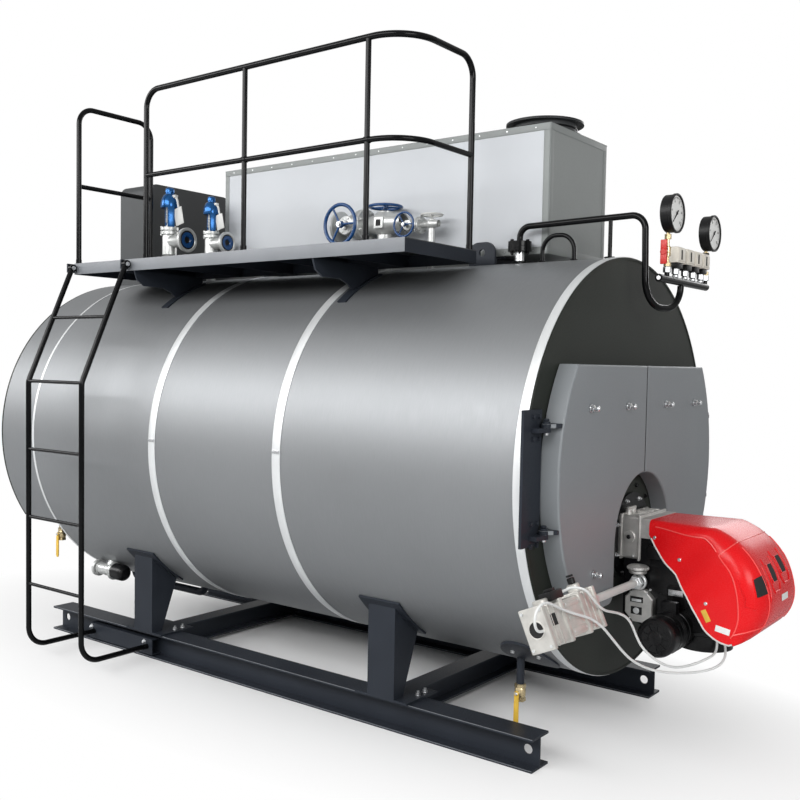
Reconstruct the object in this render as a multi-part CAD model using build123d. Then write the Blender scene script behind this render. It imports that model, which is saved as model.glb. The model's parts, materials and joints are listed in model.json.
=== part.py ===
from build123d import *
import math
import os

# Sizes are in millimetres. The burner end faces -Y, the platform side is -X, and Z is up from the floor.
# The origin lies on the floor, in the middle of the skid's four anchor bolts.
# A place is a distance behind the front plate's face; a place before it is negative.

# Boiler shell
shell_radius = 1100
shell_clearance = 344
shell_axis_z = shell_clearance + shell_radius
shell_top_z = shell_axis_z + shell_radius
shell_wall = 60
shell_length = 3825
front_face = -2072
front_plate_thickness = 14
rear_plate_thickness = 16
rear_box_length = 378
rear_box_wall = 8
rear_box_floor_drop = 608
rear_box_floor_z = shell_axis_z - rear_box_floor_drop
band_width = 60
band_thickness = 4
front_band_start = 5
front_band_width = 48
band_places = [1522, 2562]
seat_gap = 0.3

# Skid and saddles
beam_spacing = 1408
beam_width = 162
beam_height = 166
beam_flange = 12
beam_web = 9
beam_length = 3956
lift_hole_radius = 25
lift_hole_inset = 66
anchor_hole_radius = 11
anchor_offset = 45
anchor_inset = 128
cross_width = 130
cross_height = 140
rear_saddle_inset = 812
saddle_places = [1016, shell_length - rear_saddle_inset]
column_width = 180
column_plate = 12
column_outer_x = 800
column_inner_foot_x = 716
column_inner_top_z = 700
pad_length = 272
pad_thickness = 12
pad_outer_angle = 41.5
pad_inner_angle = 58.5
base_length = 356
base_thickness = 12
base_inner_x = 520
base_slot = 36
base_slot_width = 18
base_slot_pitch = 65

# Front smoke-box doors
door_rim = 140
door_radius = shell_radius - door_rim
door_crown = 424
door_top_z = shell_axis_z + door_radius - door_crown
door_heel = 301
door_bottom_z = shell_axis_z - door_radius + door_heel
door_depth = 98
door_gap = 5
door_split = 8
door_edge = 10
arch_radius = 346
arch_drop = 369
arch_z = shell_axis_z - arch_drop
arch_corner = 60
hinge_rises = [246, -238]
hinge_heights = [shell_axis_z + rise for rise in hinge_rises]
hinge_pin_outset = 22
hinge_pin_x = door_radius + hinge_pin_outset
hinge_pin_place = -44
hinge_pin_radius = 11
hinge_pin_tail = 12
hinge_lug_height = 20
hinge_lug_reach = 84
hinge_head_radius = 18
hinge_arm_height = 18
hinge_arm_bite = 15
pin_clearance = 0.06
knuckle_radius = 22
hinge_plate_gap = 8
hinge_plate_inner_x = door_radius + hinge_plate_gap
hinge_plate_overhang = 31
hinge_plate_outer_x = shell_radius + hinge_plate_overhang
hinge_plate_bottom_drop = 289
hinge_plate_bottom = shell_axis_z - hinge_plate_bottom_drop
hinge_plate_top_rise = 328
hinge_plate_top = shell_axis_z + hinge_plate_top_rise
hinge_plate_thickness = 14
clamp_inset = 297
clamp_x = [248, door_radius - clamp_inset]
clamp_drop = 207
clamp_z = door_top_z - clamp_drop
low_clamp_rise = 185
low_clamp = (590, door_bottom_z + low_clamp_rise)
clamp_radius = 9
clamp_reach = 46

# Furnace mouth and burner
furnace_drop = 366
furnace_z = shell_axis_z - furnace_drop
mouth_radius = 300
mouth_width = 90
mouth_thickness = 24
burner_plate_radius = 230
burner_plate_thickness = 14
casting_half_width = 165
casting_top_rise = 132
casting_top_z = furnace_z + casting_top_rise
casting_bottom_drop = 93
casting_bottom_z = furnace_z - casting_bottom_drop
casting_front = -160
casting_corner = 18
collar_front = -213
collar_step = 8
housing_half_width = 158
housing_back = -70
housing_front = -590
housing_top_rise = 22
housing_top_z = furnace_z + housing_top_rise
housing_bottom_drop = 438
housing_bottom_z = furnace_z - housing_bottom_drop
housing_slope = 60
housing_corner = 24
hood_back_half_width = 187
hood_front_half_width = 300
hood_side_end = -770
hood_front = -826
hood_top_rise = 122
hood_top_z = furnace_z + hood_top_rise
hood_crown_place = -560
hood_nose_drop = 198
hood_nose_z = furnace_z - hood_nose_drop
hood_lip_place = -690
hood_lip_drop = 412
hood_lip_z = furnace_z - hood_lip_drop
hood_lower_drops = [(-613, 398), (-551, 360), (-446, 202), (-313, 68)]
hood_lower_edge = [(place, furnace_z - drop) for place, drop in hood_lower_drops]
hood_back_rise = 47
hood_back_z = furnace_z + hood_back_rise
hood_corner = 60
hood_wall = 5
hood_cheek = 30
hood_brow_drop = 33
hood_brow = (-764, furnace_z - hood_brow_drop)
hood_chin_drop = 336
hood_chin = (-788, furnace_z - hood_chin_drop)
intake_radius = 140
intake_place = -447
intake_height = 76
intake_wall = 6
motor_radius = 97
motor_length = 268
motor_drop = 410
motor_place = (-355, furnace_z - motor_drop)
motor_corner = 14
gas_place = -165
gas_drop = 200
gas_z = furnace_z - gas_drop
gas_pipe_radius = 20
gas_pipe_wall = 4
gas_boss_radius = 33
gas_boss_length = 46
gas_cover_width = 150
gas_cover_height = 168
gas_cover_corner = 44
gas_cover_thickness = 40
gas_cover_drop = 322
gas_cover_place = (-172, furnace_z - gas_cover_drop)
valve_left_x = -1330
valve_body_right_x = -840
valve_right_x = -735
valve_place = -212
valve_drop = 208
valve_z = furnace_z - valve_drop
valve_depth = 120
valve_height = 190
valve_tilt = 24
valve_corner = 10
valve_neck_radius = 34
gas_inlet_radius = 24
gas_inlet_depth = 60
terminal_left_x = -1215
terminal_right_x = -1105
terminal_depth = 60
terminal_offset = -20
terminal_height = 40

# Burner cables: each leaves a face straight and ends in a face straight
cable_radius = 6
cable_bend_share = 0.45
cable_routes = {
    "burner_cable_long": [
        (-1330, -2317, 874), (-1372, -2317, 874), (-1404, -2315, 909), (-1404, -2316, 954),
        (-1376, -2320, 988), (-1330, -2326, 996), (-1268, -2328, 972), (-1190, -2334, 938),
        (-1099, -2353, 904), (-997, -2367, 871), (-918, -2385, 822), (-826, -2391, 750),
        (-745, -2405, 677), (-660, -2419, 613), (-560, -2454, 560), (-465, -2496, 528),
        (-360, -2562, 513), (-262, -2622, 512), (-180, -2664, 528), (-118, -2670, 562),
        (-80, -2652, 598), (-80, -2652, 640)],
    "burner_cable_short": [
        (-1105, -2264, 984), (-1064, -2264, 984), (-1018, -2281, 1000), (-982, -2331, 991),
        (-948, -2347, 949), (-900, -2358, 903), (-838, -2362, 872), (-757, -2352, 851),
        (-672, -2350, 828), (-600, -2358, 798), (-550, -2364, 753), (-520, -2372, 700),
        (-508, -2388, 657), (-496, -2417, 618), (-468, -2451, 583), (-415, -2480, 547),
        (-336, -2514, 523), (-258, -2568, 535), (-200, -2608, 556), (-146, -2626, 571),
        (-120, -2626, 600), (-120, -2626, 640)],
}

# Economiser and flue
economiser_left_x = -56
economiser_width = 700
economiser_front = 477
economiser_length = 2584
economiser_bottom_rise = 47
economiser_bottom_z = shell_top_z + economiser_bottom_rise
economiser_height = 717
economiser_top_z = economiser_bottom_z + economiser_height
economiser_wall = 25
outlet_from_front = 231
outlet_radius = 186
outlet_wall = 5
outlet_height = 84
outlet_flange_radius = 228
outlet_flange_thickness = 12
outlet_bolt_circle = 416
outlet_bolt_count = 12
outlet_bolt_radius = 7
cradle_places = [820, 2680]
cradle_inset = 16
cradle_plate = 14
cradle_foot_width = 120
cradle_foot_thickness = 10
flue_left_x = -110
flue_width = 810
flue_setback = 7
flue_front = shell_length + flue_setback
flue_length = 350
flue_top_drop = 12
flue_top_z = economiser_top_z - flue_top_drop
flue_corner = 70
flue_wall = 6
flue_opening_inset = 70
duct_width = 460
duct_bottom_rise = 21
duct_bottom_z = economiser_bottom_z + duct_bottom_rise
duct_height = 78
duct_top_z = duct_bottom_z + duct_height
duct_wall = 5

# Platform, railings and ladder
deck_outer_x = -938
deck_inner_x = -276
deck_front = 802
deck_back = 3580
deck_top_rise = 60
deck_top_z = shell_top_z + deck_top_rise
deck_plate = 5
deck_frame_height = 69
deck_frame_wall = 6
deck_joists = 5
rail_radius = 17
rail_bar_radius = 15
rail_top_rise = 1039
rail_top_z = deck_top_z + rail_top_rise
rail_mid_rise = 516
rail_mid_z = deck_top_z + rail_mid_rise
rail_bend = 110
rail_corner_bend = 230
rail_inset = 20
rail_gate = 725
rail_back_post = deck_back - rail_gate
rail_posts = [1074, 1979]
rail_inner_x = -319
rear_bracket_inset = 630
bracket_places = [1427, deck_back - rear_bracket_inset]
bracket_plate = 12
bracket_outline = [(-936, 0), (-913, -59), (-859, -93), (-704, -95), (-637, -120), (-584, -156)]
bracket_inner_x = -368
bracket_pad_width = 60
bracket_pad_thickness = 10
bracket_pad_angles = (51.5, 71)
ladder_gap = 193
ladder_x = -shell_radius - ladder_gap
ladder_insets = [590, 18]
ladder_places = [deck_back - inset for inset in ladder_insets]
ladder_top_outset = 30
ladder_top_drop = 34
ladder_top = (deck_outer_x - ladder_top_outset, deck_top_z - ladder_top_drop)
ladder_knee_drop = 788
ladder_knee_z = deck_top_z - ladder_knee_drop
ladder_knee_bend = 90
ladder_foot_z = 72
ladder_bend = 130
ladder_rung_drops = [1324, 882, 440, 0]
ladder_rungs = [ladder_knee_z - drop for drop in ladder_rung_drops]
ladder_slope_rung_rise = 415
ladder_slope_rung_z = ladder_knee_z + ladder_slope_rung_rise
ladder_rung_radius = 11
ladder_eye_radius = 24
ladder_eye_thickness = 34
ladder_lug_thickness = 10
ladder_lug_height = 60
anchor_channel_height = 104
anchor_channel_wall = 6
anchor_channel_overhang = 50

# Safety valves on top of the shell
fitting_x = -172
safety_insets = [298, 745]
safety_scales = [1.0, 0.85]
safety_valves = [(shell_length - inset, scale) for inset, scale in zip(safety_insets, safety_scales)]
safety_outlet_reach = 201
safety_outlet_height = 300
safety_outlet_radius = 86
safety_outlet_thickness = 24
safety_branch_radius = 46
safety_discs = [(-100, 70, 36), (70, 108, 78), (108, 380, 50), (380, 398, 62), (404, 424, 66), (398, 404, 50),
                (424, 560, 42), (560, 645, 58), (645, 691, 34)]
safety_window = (34, 96)
safety_lever_offset = 76
safety_lever_radius = 6
safety_spindle_radius = 10

# Steam valves on top of the shell
stem_clearance = 0.06
stem_end_gap = 2
wheel_rim_share = 0.085
wheel_hub_share = 0.17
wheel_hub_height_share = 0.2
wheel_spoke_share = 0.053
wheel_spokes = 3
run_rise = 271
run_z = shell_top_z + run_rise
main_valve_place = 1529
main_valve_radius = 76
main_pipe_radius = 46
main_flange_radius = 100
main_flange_thickness = 22
main_flange_gap = 2
main_flange_place = 1690
main_nozzle_flange_rise = 96
main_nozzle_flange_z = shell_top_z + main_nozzle_flange_rise
main_bonnet_rise = 71
main_bonnet_top = run_z + main_bonnet_rise
steam_bolt_circle = 160
steam_bolt_count = 8
steam_bolt_radius = 9
outlet_valve_place = 1781
outlet_valve_end = 1890
outlet_bonnet_x = -262
outlet_bonnet_radius = 37
outlet_valve_radius = 68
outlet_bore_radius = 40
branch_drop = 26
branch_z = run_z - branch_drop
branch_pipe_radius = 20
branch_flange_radius = 52
branch_flange_thickness = 10
branch_flange_place = 1265
branch_valve_place = 1334
branch_valve_radius = 36
branch_bonnet_x = -226
air_valve_place = 1183
air_valve_radius = 30
air_bonnet_rise = 33
air_bonnet_top = branch_z + air_bonnet_rise
air_bonnet_radius = 16
air_nozzle_flange_rise = 106
air_nozzle_flange_z = shell_top_z + air_nozzle_flange_rise
main_wheel_rise = 31
main_wheel_z = main_bonnet_top + main_wheel_rise
air_wheel_rise = 20
air_wheel_z = air_bonnet_top + air_wheel_rise
hand_wheels = {
    "steam_outlet_wheel": ((-300, outlet_valve_place, run_z), (-1, 0, 0), 131, 9, 80),
    "main_steam_wheel": ((fitting_x, main_valve_place, main_wheel_z), (0, 0, 1), 108, 9, 72),
    "branch_wheel": ((-245, branch_valve_place, branch_z), (-1, 0, 0), 77, 6, 42),
    "air_wheel": ((fitting_x, air_valve_place, air_wheel_z), (0, 0, 1), 68, 6, 42),
}

# Siphon, header and gauges
siphon_x = -130
siphon_radius = 17
siphon_place = 612
siphon_flange_rise = 56
siphon_flange_z = shell_top_z + siphon_flange_rise
siphon_flange_radius = 65
siphon_flange_height = 56
siphon_stub_radius = 26
siphon_knee_rise = 191
siphon_rise_z = shell_top_z + siphon_knee_rise
siphon_front_rise = 206
siphon_front = (-118, shell_top_z + siphon_front_rise)
siphon_low_drop = 264
siphon_low = (-130, shell_top_z - siphon_low_drop)
siphon_bends = [60, 75, 140, 122]
siphon_post_place = 72
siphon_post_radius = 11
header_drop = 119
header_z = shell_top_z - header_drop
header_place = -200
header_left_x = -135
header_right_x = 532
header_radius = 20
siphon_header_x = 162
cock_x = [-30, 83, 213, 325, 443]
cock_radius = 13
cock_height = 65
cock_top_z = header_z + cock_height
gauge_radius = 100
gauge_depth = 60
gauge_back = -190
gauge_rises = [267, 228]
gauge_stems = [(-30, cock_top_z + gauge_rises[0]), (516, cock_top_z + gauge_rises[1])]
gauge_stem_radius = 9
gauge_cock_radius = 17
gauge_cock_share = 0.7
controller_width = 104
controller_depth = 64
controller_top_rise = 110
controller_top_z = cock_top_z + controller_top_rise
lug_place = 854
lug_width = 170
lug_height = 130
lug_thickness = 16
lug_hole_radius = 20
lug_corner = 60
loop_places = (278, 469)
loop_top_rise = 132
loop_top_z = shell_top_z + loop_top_rise
loop_radius = 12
loop_bend = 85

# Drains and blowdown
drain_x = -500
drain_place = 330
drain_pad_x = -560
drain_pad_place = 244
drain_pad_radius = 150
drain_pad_thickness = 10
drain_pipe_radius = 20
drain_valve_height = 87
drain_valve_top_drop = 22
drain_valve_top_z = shell_clearance - drain_valve_top_drop
drain_valve_bottom_z = drain_valve_top_z - drain_valve_height
rear_drain_inset = 350
rear_drain_x = rear_drain_inset - shell_radius
rear_drain_offset = 175
rear_drain_place = shell_length + rear_drain_offset
rear_drain_valve_top_drop = 96
rear_drain_valve_top_z = rear_box_floor_z - rear_drain_valve_top_drop
rear_drain_valve_bottom_drop = 85
rear_drain_valve_bottom_z = rear_drain_valve_top_z - rear_drain_valve_bottom_drop
drain_valve_radius = 24
drain_stem_radius = 6
lever_length = 178
lever_width = 26
lever_thickness = 5
lever_offset = 34
lever_corner = 12.5
blowdown_x = -640
blowdown_z = 475
blowdown_inset = 426
blowdown_place = shell_length - blowdown_inset
blowdown_discs = [(0, 120, 56), (120, 135, 60), (135, 291, 40), (301, 321, 58), (291, 301, 30)]
blowdown_neck_offset = 201
blowdown_neck_place = blowdown_place + blowdown_neck_offset
blowdown_neck_radius = 30
blowdown_neck_length = 300
blowdown_bolt_circle = 90
blowdown_bolt_count = 4
blowdown_bolt_radius = 6
blowdown_corner = 39
bottom_pipe_x = -300
bottom_pipe_rise = 4
bottom_pipe_z = shell_clearance + bottom_pipe_rise
bottom_pipe_radius = 26
bottom_pipe_insets = [865, 85]
bottom_pipe_start = shell_length - bottom_pipe_insets[0]
bottom_pipe_end = shell_length - bottom_pipe_insets[1]
bottom_pipe_bend = 70


def at(place):
    """The Y that lies this far behind the front plate's face."""
    return front_face + place


def block(x0, x1, y0, y1, z0, z1):
    """A box between two corners."""
    centre = Pos((x0 + x1) / 2, (y0 + y1) / 2, (z0 + z1) / 2)
    return centre * Box(x1 - x0, y1 - y0, z1 - z0)


def disc(x, y, z, radius, length, direction):
    """A cylinder that starts at a point and runs along a direction."""
    return Plane(origin=(x, y, z), z_dir=direction) * Cylinder(
        radius, length, align=(Align.CENTER, Align.CENTER, Align.MIN))


def bent_bar(points, radii, radius):
    """A round bar along straight runs joined by tangent arcs."""
    path = FilletPolyline(*points, radius=radii)
    return sweep(Plane(origin=path @ 0, z_dir=path % 0) * Circle(radius), path=path)


def along_y(face, y0, y1):
    """Push a face drawn in X and Z from one Y to another."""
    plane = Plane(origin=(0, y0, 0), x_dir=(1, 0, 0), z_dir=(0, -1, 0))
    return extrude(plane * face, amount=-(y1 - y0))


def along_x(face, x0, x1):
    """Push a face drawn in Y and Z from one X to another."""
    plane = Plane(origin=(x0, 0, 0), x_dir=(0, 1, 0), z_dir=(1, 0, 0))
    return extrude(plane * face, amount=x1 - x0)


def mirrored(solid):
    """The same piece on the other side of the boiler."""
    return mirror(solid, about=Plane.YZ)


def shell_height(x):
    """The height of the shell's upper surface at this X."""
    return shell_axis_z + math.sqrt(shell_radius ** 2 - x ** 2)


def ring_face(outer, inner):
    """A ring about the boiler's axis, drawn in X and Z."""
    return Pos(0, shell_axis_z) * (Circle(outer) - Circle(inner))


def shell_space(margin):
    """The room that the shell takes up, with a margin all round."""
    return along_y(Pos(0, shell_axis_z) * Circle(shell_radius + margin), at(0), at(shell_length))


def radial_point(angle):
    """A far point on the left, this many degrees from the level through the shell's axis."""
    reach = 2 * shell_radius
    turn = math.radians(angle)
    return (-reach * math.cos(turn), shell_axis_z + reach * math.sin(turn))


def shell_pad(angles, thickness, y0, y1):
    """A curved plate that lies on the shell between two angles."""
    wedge = make_face(Polyline(
        (0, shell_axis_z), radial_point(angles[0]), radial_point(angles[1]), close=True))
    ring = ring_face(shell_radius + thickness, shell_radius + seat_gap)
    return along_y(ring & wedge, y0, y1)


def skid_beam(side):
    """An H beam along the skid, with anchor holes in its foot and a lifting hole at each end."""
    x = side * beam_spacing / 2
    half = beam_length / 2
    beam = block(x - beam_width / 2, x + beam_width / 2, -half, half, 0, beam_flange)
    beam += block(x - beam_width / 2, x + beam_width / 2, -half, half, beam_height - beam_flange, beam_height)
    beam += block(x - beam_web / 2, x + beam_web / 2, -half, half, beam_flange, beam_height - beam_flange)
    for end in (-1, 1):
        anchor = Pos(x + side * anchor_offset, end * (half - anchor_inset), beam_flange / 2)
        beam -= anchor * Cylinder(anchor_hole_radius, 2 * beam_flange)
        lift_y = end * (half - lift_hole_inset)
        beam -= disc(x - beam_web, lift_y, beam_height / 2, lift_hole_radius, 2 * beam_web, (1, 0, 0))
    return beam


def cross_beam(place):
    """An I beam between the two long beams, flush with their top faces."""
    y = at(place)
    bottom = beam_height - cross_height
    web_reach = beam_spacing / 2 - beam_web / 2
    flange_reach = beam_spacing / 2 - beam_width / 2
    half = cross_width / 2
    beam = block(-flange_reach, flange_reach, y - half, y + half, beam_height - beam_flange, beam_height)
    beam += block(-flange_reach, flange_reach, y - half, y + half, bottom, bottom + beam_flange)
    beam += block(-web_reach, web_reach, y - beam_web / 2, y + beam_web / 2,
                  bottom, beam_height - beam_flange)
    return beam


def saddle(side, place):
    """A folded column on a base plate, with a curved pad under the shell."""
    y = at(place)
    foot = beam_height + base_thickness
    base = block(-column_outer_x, -base_inner_x, y - base_length / 2, y + base_length / 2, beam_height, foot)
    for end in (-1, 1):
        for step in (1, 2):
            slot_y = y + end * (base_length / 2 - base_slot)
            slot_place = Pos(-base_inner_x - step * base_slot_pitch, slot_y, foot)
            slot = SlotOverall(base_slot, base_slot_width)
            base -= slot_place * extrude(slot, 2 * base_thickness, both=True)
    side_face = make_face(Polyline(
        (-column_outer_x, foot), (-column_outer_x, shell_axis_z), (-base_inner_x, shell_axis_z),
        (-base_inner_x, column_inner_top_z), (-column_inner_foot_x, foot), close=True))
    side_face -= Pos(0, shell_axis_z) * Circle(shell_radius + pad_thickness / 2)
    column = along_y(side_face, y - column_width / 2, y + column_width / 2)
    column -= block(-column_outer_x + column_plate, 0, y - column_width / 2 + column_plate,
                    y + column_width / 2 - column_plate, 0, shell_axis_z)
    pad = shell_pad((-pad_outer_angle, -pad_inner_angle), pad_thickness,
                    y - pad_length / 2, y + pad_length / 2)
    whole = base + column + pad
    return whole if side < 0 else mirrored(whole)


def shell():
    """The lagged round shell, open at both ends."""
    return along_y(ring_face(shell_radius, shell_radius - shell_wall), at(front_plate_thickness),
                   at(shell_length - rear_plate_thickness))


def front_plate():
    """The round plate that closes the burner end."""
    return along_y(Pos(0, shell_axis_z) * Circle(shell_radius), at(0), at(front_plate_thickness))


def rear_plate():
    """The round plate at the rear end of the shell."""
    return along_y(Pos(0, shell_axis_z) * Circle(shell_radius), at(shell_length - rear_plate_thickness),
                   at(shell_length))


def rear_box_face(radius, floor_z):
    """A disc about the axis with a flat floor, drawn in X and Z."""
    below = Pos(0, floor_z - radius) * Rectangle(4 * radius, 2 * radius)
    return Pos(0, shell_axis_z) * Circle(radius) - below


def rear_smoke_box():
    """The smoke box behind the shell, with a flat floor and an opening into the flue above it."""
    walls = rear_box_face(shell_radius, rear_box_floor_z)
    walls -= rear_box_face(shell_radius - rear_box_wall, rear_box_floor_z + rear_box_wall)
    box = along_y(walls, at(shell_length), at(shell_length + rear_box_length - rear_plate_thickness))
    box -= block(flue_left_x + flue_opening_inset, flue_left_x + flue_width - flue_opening_inset,
                 at(flue_front + flue_opening_inset), at(flue_front + flue_length - flue_opening_inset),
                 shell_axis_z, flue_top_z)
    return box


def rear_cover():
    """The flat cover on the rear smoke box."""
    return along_y(rear_box_face(shell_radius, rear_box_floor_z),
                   at(shell_length + rear_box_length - rear_plate_thickness),
                   at(shell_length + rear_box_length))


def shell_bands():
    """Bright bands round the cladding: one at the front and two along it."""
    hoop = ring_face(shell_radius + band_thickness, shell_radius + seat_gap)
    pieces = [along_y(hoop, at(front_band_start), at(front_band_start + front_band_width))]
    for place in band_places:
        pieces.append(along_y(hoop, at(place - band_width / 2), at(place + band_width / 2)))
    return Compound(children=pieces)


def door_face():
    """The left door's outline in X and Z, with its share of the arch cut away."""
    half = Pos(-door_radius / 2 - door_split / 2, (door_top_z + door_bottom_z) / 2) * Rectangle(
        door_radius, door_top_z - door_bottom_z)
    face = (Pos(0, shell_axis_z) * Circle(door_radius)) & half
    arch = Pos(0, arch_z) * Circle(arch_radius)
    arch += Pos(0, arch_z - arch_radius) * Rectangle(2 * arch_radius, 2 * arch_radius)
    return face - arch


def hinge_arm(height):
    """The arm that carries the left door on its hinge pin."""
    edge_x = -math.sqrt(door_radius ** 2 - (height - shell_axis_z) ** 2)
    pin_y = at(hinge_pin_place)
    front_y = at(-door_gap - door_depth) + door_edge
    arm = make_face(Polyline(
        (-hinge_pin_x, pin_y - knuckle_radius), (-hinge_pin_x, pin_y + knuckle_radius / 2),
        (edge_x + hinge_arm_bite, pin_y + knuckle_radius / 2), (edge_x + hinge_arm_bite, front_y),
        (edge_x - hinge_arm_bite, front_y), close=True))
    arm += Pos(-hinge_pin_x, pin_y) * Circle(knuckle_radius)
    arm -= Pos(-hinge_pin_x, pin_y) * Circle(hinge_pin_radius + pin_clearance)
    return Pos(0, 0, height + seat_gap) * extrude(arm, hinge_arm_height)


def door(side):
    """One half of the smoke-box door, with its hinge arms and clamping nuts."""
    front = at(-door_gap - door_depth)
    body = along_y(door_face(), front, at(-door_gap))
    inner_corner = body.edges().filter_by(Axis.Y).sort_by_distance((-arch_radius, front, door_bottom_z))[0]
    body = fillet(inner_corner, arch_corner)
    body = fillet(body.faces().sort_by(Axis.Y)[0].outer_wire().edges(), door_edge)
    for height in hinge_heights:
        body += hinge_arm(height)
    for x, z in [(clamp_x[0], clamp_z), (clamp_x[1], clamp_z), low_clamp]:
        body += disc(-x, front, z, clamp_radius, clamp_reach, (0, -1, 0))
        body += disc(-x, front, z, 2 * clamp_radius, clamp_radius, (0, -1, 0))
    return body if side < 0 else mirrored(body)


def hinge_plate():
    """A plate on the front with two lugs and their pins, which carries the left door."""
    face_y = at(-hinge_plate_thickness)
    pin_y = at(hinge_pin_place)
    plate = block(-hinge_plate_outer_x, -hinge_plate_inner_x, face_y, at(0),
                  hinge_plate_bottom, hinge_plate_top)
    for height in hinge_heights:
        lug = make_face(Polyline(
            (-hinge_pin_x, pin_y - knuckle_radius),
            (-hinge_pin_x - hinge_lug_reach, pin_y - knuckle_radius / 2),
            (-hinge_pin_x - hinge_lug_reach, face_y), (-hinge_plate_inner_x, face_y),
            (-hinge_pin_x, pin_y), close=True))
        lug += Pos(-hinge_pin_x, pin_y) * Circle(knuckle_radius)
        plate += Pos(0, 0, height - hinge_lug_height) * extrude(lug, hinge_lug_height)
        tail_z = height - hinge_lug_height - hinge_pin_tail
        head_z = height + hinge_arm_height + 2 * seat_gap
        plate += disc(-hinge_pin_x, pin_y, tail_z, hinge_pin_radius, head_z - tail_z, (0, 0, 1))
        plate += disc(-hinge_pin_x, pin_y, head_z, hinge_head_radius, hinge_pin_radius, (0, 0, 1))
    return plate


def hinge_plates():
    """The hinge plates of both doors."""
    plate = hinge_plate()
    return Compound(children=[plate, mirrored(plate)])


def furnace_mouth():
    """The flange ring round the furnace, to which the burner is bolted."""
    ring = Pos(0, furnace_z) * (Circle(mouth_radius) - Circle(mouth_radius - mouth_width))
    return along_y(ring, at(-mouth_thickness), at(0))


def burner_casting():
    """The aluminium block and collar that join the burner to the furnace mouth."""
    plate_front = -mouth_thickness - burner_plate_thickness
    casting = block(-casting_half_width, casting_half_width, at(casting_front), at(plate_front),
                    casting_bottom_z, casting_top_z)
    casting = fillet(casting.edges().filter_by(Axis.Y), casting_corner)
    casting += along_y(Pos(0, furnace_z) * Circle(burner_plate_radius), at(plate_front), at(-mouth_thickness))
    casting += block(-casting_half_width, casting_half_width, at(collar_front), at(casting_front),
                     housing_top_z, casting_top_z - collar_step)
    return casting


def burner_housing():
    """The black fan housing, with the round air intake under it and the gas inlet's boss."""
    outline = make_face(Polyline(
        (at(casting_front), casting_bottom_z), (at(housing_back), casting_bottom_z),
        (at(housing_back), housing_bottom_z + housing_slope),
        (at(housing_back - 2 * housing_slope), housing_bottom_z), (at(housing_front), housing_bottom_z),
        (at(housing_front), housing_top_z - 2 * housing_slope),
        (at(housing_front + 2 * housing_slope), housing_top_z), (at(casting_front), housing_top_z),
        close=True))
    body = along_x(outline, -housing_half_width, housing_half_width)
    low_edges = body.faces().sort_by(Axis.Z)[0].edges().filter_by(Axis.Y)
    body = fillet(low_edges, housing_corner)
    body += disc(-housing_half_width, at(gas_place), gas_z, gas_boss_radius, gas_boss_length, (-1, 0, 0))
    body -= disc(-housing_half_width - gas_boss_length, at(gas_place), gas_z,
                 gas_pipe_radius - gas_pipe_wall, gas_boss_length, (1, 0, 0))
    intake = disc(0, at(intake_place), housing_bottom_z - intake_height, intake_radius,
                  intake_height, (0, 0, 1))
    intake -= disc(0, at(intake_place), housing_bottom_z - intake_height, intake_radius - intake_wall,
                   intake_height, (0, 0, 1))
    return body + intake


def hood_form(inset):
    """The hood's form, drawn in by an inset; below and behind, it runs on past its edges."""
    top = hood_top_z - inset
    nose = (at(hood_front + inset), hood_nose_z)
    brow = (at(hood_brow[0]), hood_brow[1] - inset / 2)
    chin = (at(hood_chin[0]), hood_chin[1] + inset / 2)
    lip = (at(hood_lip_place), hood_lip_z + inset)
    crown = (at(hood_crown_place), top)
    back = at(collar_front) + hood_corner
    below = hood_lip_z - hood_corner
    side = make_face([
        ThreePointArc(crown, brow, nose),
        ThreePointArc(nose, chin, lip),
        Polyline(lip, (lip[0], below), (back, below), (back, top), crown),
    ])
    plan = make_face(Polyline(
        (-hood_back_half_width + inset, back), (hood_back_half_width - inset, back),
        (hood_front_half_width - inset, at(hood_side_end)),
        (hood_front_half_width - inset - hood_cheek, nose[0]),
        (-hood_front_half_width + inset + hood_cheek, nose[0]),
        (-hood_front_half_width + inset, at(hood_side_end)), close=True))
    form = along_x(side, -2 * hood_front_half_width, 2 * hood_front_half_width)
    return form & extrude(plan, 2 * hood_top_z)


def burner_hood():
    """The red cover over the front of the burner, open below and at the back."""
    lower_edge = [(at(place), z) for place, z in hood_lower_edge]
    back = at(collar_front)
    lip = (at(hood_lip_place), hood_lip_z)
    below = hood_lip_z - 2 * hood_corner
    behind = back + 2 * hood_corner
    open_side = make_face(Polyline(lip, *lower_edge, (back, hood_back_z), (back, 2 * hood_top_z),
                                   (behind, 2 * hood_top_z), (behind, below), (lip[0], below), close=True))
    hood = hood_form(0) - hood_form(hood_wall)
    return hood - along_x(open_side, -2 * hood_front_half_width, 2 * hood_front_half_width)


def burner_motor():
    """The fan motor on the housing's left side."""
    place, z = motor_place
    motor = disc(-housing_half_width, at(place), z, motor_radius, motor_length, (-1, 0, 0))
    return fillet(motor.edges().sort_by(Axis.X)[0], motor_corner)


def gas_cover():
    """The eight-sided light cover on the gas head, under the gas pipe."""
    place, z = gas_cover_place
    outline = Pos(at(place), z) * Rectangle(gas_cover_width, gas_cover_height)
    outline = chamfer(outline.vertices(), gas_cover_corner)
    return along_x(outline, -housing_half_width - gas_cover_thickness, -housing_half_width)


def gas_pipe():
    """The pipe from the gas valve to the burner."""
    start = valve_right_x
    end = -housing_half_width - gas_boss_length
    tube = disc(start, at(gas_place), gas_z, gas_pipe_radius, end - start, (1, 0, 0))
    return tube - disc(start, at(gas_place), gas_z, gas_pipe_radius - gas_pipe_wall, end - start, (1, 0, 0))


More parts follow.
